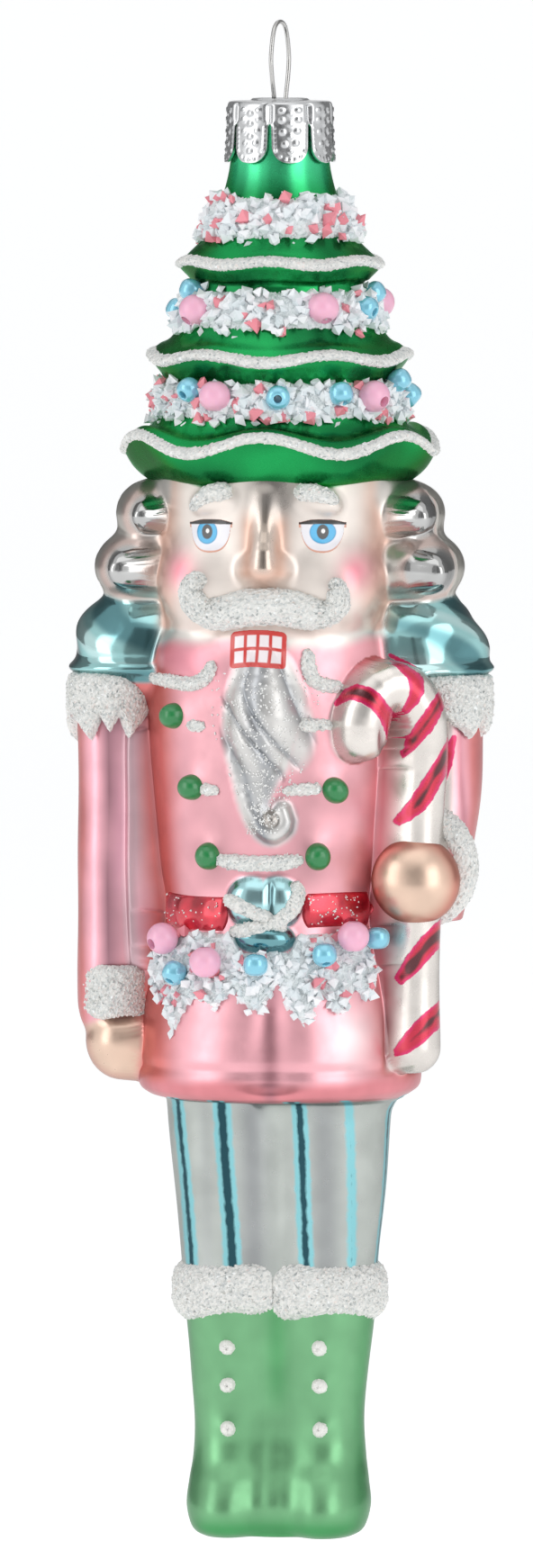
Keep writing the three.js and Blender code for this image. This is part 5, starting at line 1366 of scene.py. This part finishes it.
def eye_picture(half_width, iris_side, iris_radius, iris_narrow, tilt):
    """A half round under a nearly straight lid line: white, a blue iris that the lid cuts, a black pupil and
    a white spot."""
    def picture(u, v):
        v = v - tilt * u
        share = np.clip(np.abs(u / half_width), 0, 1)
        lid = 1.3 + 0.22 * (1 - share**2)
        floor = 1.1 - 3.1 * (1 - share**2.6) ** 0.5
        white = np.maximum(np.maximum(v - lid, floor - v), np.abs(u) - half_width)
        iris = np.hypot(u - iris_side, iris_narrow * (v - 0.3)) - iris_radius
        pupil = np.hypot(1.3 * (u - iris_side), v - 0.35) - 0.92
        spot = np.hypot(u - iris_side - 0.05, 0.8 * (v - 0.45)) - 0.22
        lid_line = np.abs(v - lid - 0.1) - 0.3 * np.clip(1.5 - share, 0.5, 1)
        lid_line = np.maximum(lid_line, np.abs(u) - half_width - 0.25)
        rounds = [(iris, "3aaee0"), (np.abs(iris) - 0.07, "2f93c4"), (pupil, "1b1c1e"), (spot, "ffffff")]
        layers = [(inside(shape) * inside(white), code) for shape, code in rounds]
        colour = painted("d9a18c", [(inside(white), "e9e7ec"), *layers, (inside(lid_line), "1a1614")])
        return colour, np.maximum(inside(white - 0.22) * step(lid + 0.05, lid - 0.1, v), inside(lid_line))
    return picture


def mouth_picture(u, v):
    """A rounded red field ruled into four by white gaps between the teeth."""
    half_wide, half_high, corner = 3.55, 2.25, 0.6
    v = v + 0.03 * u * u
    over_x, over_z = np.abs(u) - half_wide + corner, np.abs(v) - half_high + corner
    field = np.hypot(np.maximum(over_x, 0), np.maximum(over_z, 0)) - corner
    from_line = [0.5 * t - np.abs((w / t + 10) % 1 - 0.5) * t for w, t in ((u, 1.58), (v, 1.86))]
    line = np.minimum(*from_line) - 0.21
    return painted("cf3f3a", [(inside(-line) * inside(field + 0.38), "f2e8ea")]), inside(field)


painted_patch("painted_eye_left", (-6.85, 126.1), (7.0, 4.6), eye_picture(2.6, -0.45, 1.3, 0.92, 0.02))
painted_patch("painted_eye_right", (7.1, 126.15), (6.8, 4.6), eye_picture(2.55, 0.05, 1.5, 1.1, -0.02))
painted_patch("painted_mouth", (-0.6, 112.1), (8.0, 5.0), mouth_picture)


# The belt is a raised line of glossy red enamel, run on by brush between the arms and across the back.
belt_enamel, belt_tree, belt_shader = finish("belt_enamel", "c8192b", {
    "Metallic": 0.6, "Roughness": 0.2, "Coat Weight": 0.7, "Coat Roughness": 0.05,
})
# Random dark and bright red over the belt: the enamel's own uneven tone, with painted highlights where it is
# brightest.
belt_tone_and_highlights = ranged(noise(belt_tree, 260.0), 0.35, 0.65)
feed(belt_shader, {"Base Color": blend_colours(belt_tone_and_highlights, "9c1326", "f0384c")})
BELT_LEVEL, BELT_HALF_HEIGHT, BELT_RISE, BELT_SUNK = 79.1, 2.25, 0.85, 0.25
BELT_STRETCHES = {"belt_front_left": (-63, -16), "belt_front_right": (17, 56), "belt_back": (114, 246)}
for name, (first, last) in BELT_STRETCHES.items():
    a = np.radians(np.linspace(first, last, int((last - first) * 1.3)))[None, :]
    v = np.linspace(-1, 1, 26)[:, None]
    swell = np.sqrt(np.clip(1 - v**2, 0, 1)) * (1 + 0.04 * np.sin(21 * a))
    taper = np.clip(np.minimum((np.degrees(a) - first) / 3, (last - np.degrees(a)) / 3), 0, 1) ** 0.5
    z = BELT_LEVEL + 0.3 * np.sin(2.6 * a) + BELT_HALF_HEIGHT * v * taper
    belt_piece = surface(name, coat_skin(a + 0 * z, z, BELT_RISE * swell * taper - BELT_SUNK), wrap=False)
    dress(belt_piece, belt_enamel)

# Clear micro beads stick in the lacquer of the beard and along the belt.
micro = finish("micro_beads", "ececea", {"Roughness": 0.25, "Coat Weight": 0.5})[0]
random = np.random.default_rng(131)
micro_count = 700
z = random.uniform(89.0, 109.5, micro_count)
spread = 2.2 + 4.4 * step(89, 104, z)
x = np.clip(random.normal(0, 0.5, micro_count), -1, 1) * spread + 0.2
spots = on_front(x, z, 0.06)
dress(chips("beard_micro_beads", spots, 0.25, 0.45, 132, 0.0), micro)
turns_and_counts = ((-62, -18, micro_count // 20), (20, 47, micro_count // 12))
angle = np.radians(np.concatenate([random.uniform(*values) for values in turns_and_counts]))
z = BELT_LEVEL + 0.3 * np.sin(2.6 * angle) + random.uniform(-1.9, 1.9, len(angle))
spots = coat_skin(angle, z, BELT_RISE * np.sqrt(1 - ((z - BELT_LEVEL) / 2.5) ** 2) - 0.22)
dress(chips("belt_micro_beads", spots, 0.25, 0.45, 133, 0.0), micro)


# Studio: a pale floor well below the hanging ornament, soft lamps at both sides and grey cards towards the
# camera, which only the mirror-like glass sees.
MIDDLE = (-1.7, 0.0, 94.2)
AZIMUTH, ELEVATION, DISTANCE, FRAME_HEIGHT = np.radians(7.5), np.radians(3.5), 2.0, 0.1965
SENSOR = 36.0
aim = np.array(MIDDLE) * MM + (0, 0, SOLE_LEVEL)
level_share = np.cos(ELEVATION)
toward = np.array([np.sin(AZIMUTH) * level_share, -np.cos(AZIMUTH) * level_share, np.sin(ELEVATION)])
camera = linked("camera", bpy.data.cameras.new("camera"))
camera.data.lens = SENSOR * DISTANCE / FRAME_HEIGHT
camera.data.sensor_width = SENSOR
camera.data.clip_start = 0.05
camera.location = aim + DISTANCE * toward
camera.rotation_euler = (np.pi / 2 - ELEVATION, 0, AZIMUTH)
bpy.context.scene.camera = camera


def lamp(name, place, size, power):
    """A soft oblong lamp that shines at the ornament's middle."""
    made = linked(name, bpy.data.lights.new(name, "AREA"))
    made.data.shape = "RECTANGLE"
    made.data.size, made.data.size_y = size
    made.data.energy = power
    made.location = place
    made.rotation_euler = (Vector(place) - Vector(aim)).to_track_quat("Z", "Y").to_euler()


lamp("lamp_left", (-0.95, -0.65, 0.12), (0.55, 1.3), 4.1)
lamp("lamp_right", (0.9, -0.75, 0.1), (0.65, 1.3), 4.9)
lamp("lamp_top", (0.0, -0.35, 0.95), (1.0, 0.8), 1.6)

CARD_RADIUS, CARD_LOW, CARD_HIGH, CARD_COLUMNS = 2.4, -1.6, 1.9, 9


def stage_piece(name, points, faces, made):
    """A piece of the studio, in metres, which isn't a part of the ornament."""
    mesh = bpy.data.meshes.new(name)
    mesh.from_pydata(points, [], faces)
    mesh.materials.append(made)
    piece = linked(name, mesh)
    return piece


def card(name, first, last, grey, radius=CARD_RADIUS):
    """A grey card that only reflections see: a part of an upright cylinder between two directions in degrees,
    which count from the front towards +X."""
    turned = np.radians(np.linspace(first, last, CARD_COLUMNS))
    points = [(radius * np.sin(a), -radius * np.cos(a), z) for z in (CARD_LOW, CARD_HIGH) for a in turned]
    made = finish(name, (grey, grey, grey), {"Roughness": 1.0})[0]
    piece = stage_piece(name, points, grid_faces(2, CARD_COLUMNS, False).tolist(), made)
    piece.visible_camera = piece.visible_shadow = piece.visible_diffuse = False


card("card_front", -22, 26, 0.45)
card("card_middle", 4, 11, 0.2, CARD_RADIUS - 0.1)
card("card_back_left", -165, -105, 0.35)
card("card_back_right", 120, 180, 0.35)
floor_level = SOLE_LEVEL - 0.03
floor_corners = [(x, y, floor_level) for x, y in ((-40, -40), (40, -40), (40, 40), (-40, 40))]
floor_finish = finish("floor", (0.9, 0.9, 0.9), {
    "Roughness": 0.9, "Emission Color": (1, 1, 1, 1), "Emission Strength": 0.5,
})[0]
stage_piece("floor", floor_corners, [(0, 1, 2, 3)], floor_finish)

world = bpy.data.worlds.new("studio")
bpy.context.scene.world = world
world.use_nodes = True
backdrop = world.node_tree.nodes["Background"]
path = node(world.node_tree, "LightPath").outputs
LIT_GREY, MIRRORED_GREY, SEEN_WHITE = (0.5, 0.51, 0.52), (0.9, 0.905, 0.91), (1.0, 1.0, 1.0)
world_colour = blend_colours(path["Is Glossy Ray"], LIT_GREY, MIRRORED_GREY)
world_colour = blend_colours(path["Is Camera Ray"], world_colour, SEEN_WHITE)
feed(backdrop, {"Color": world_colour, "Strength": 1.0})
bpy.context.scene.view_settings.view_transform = "Standard"
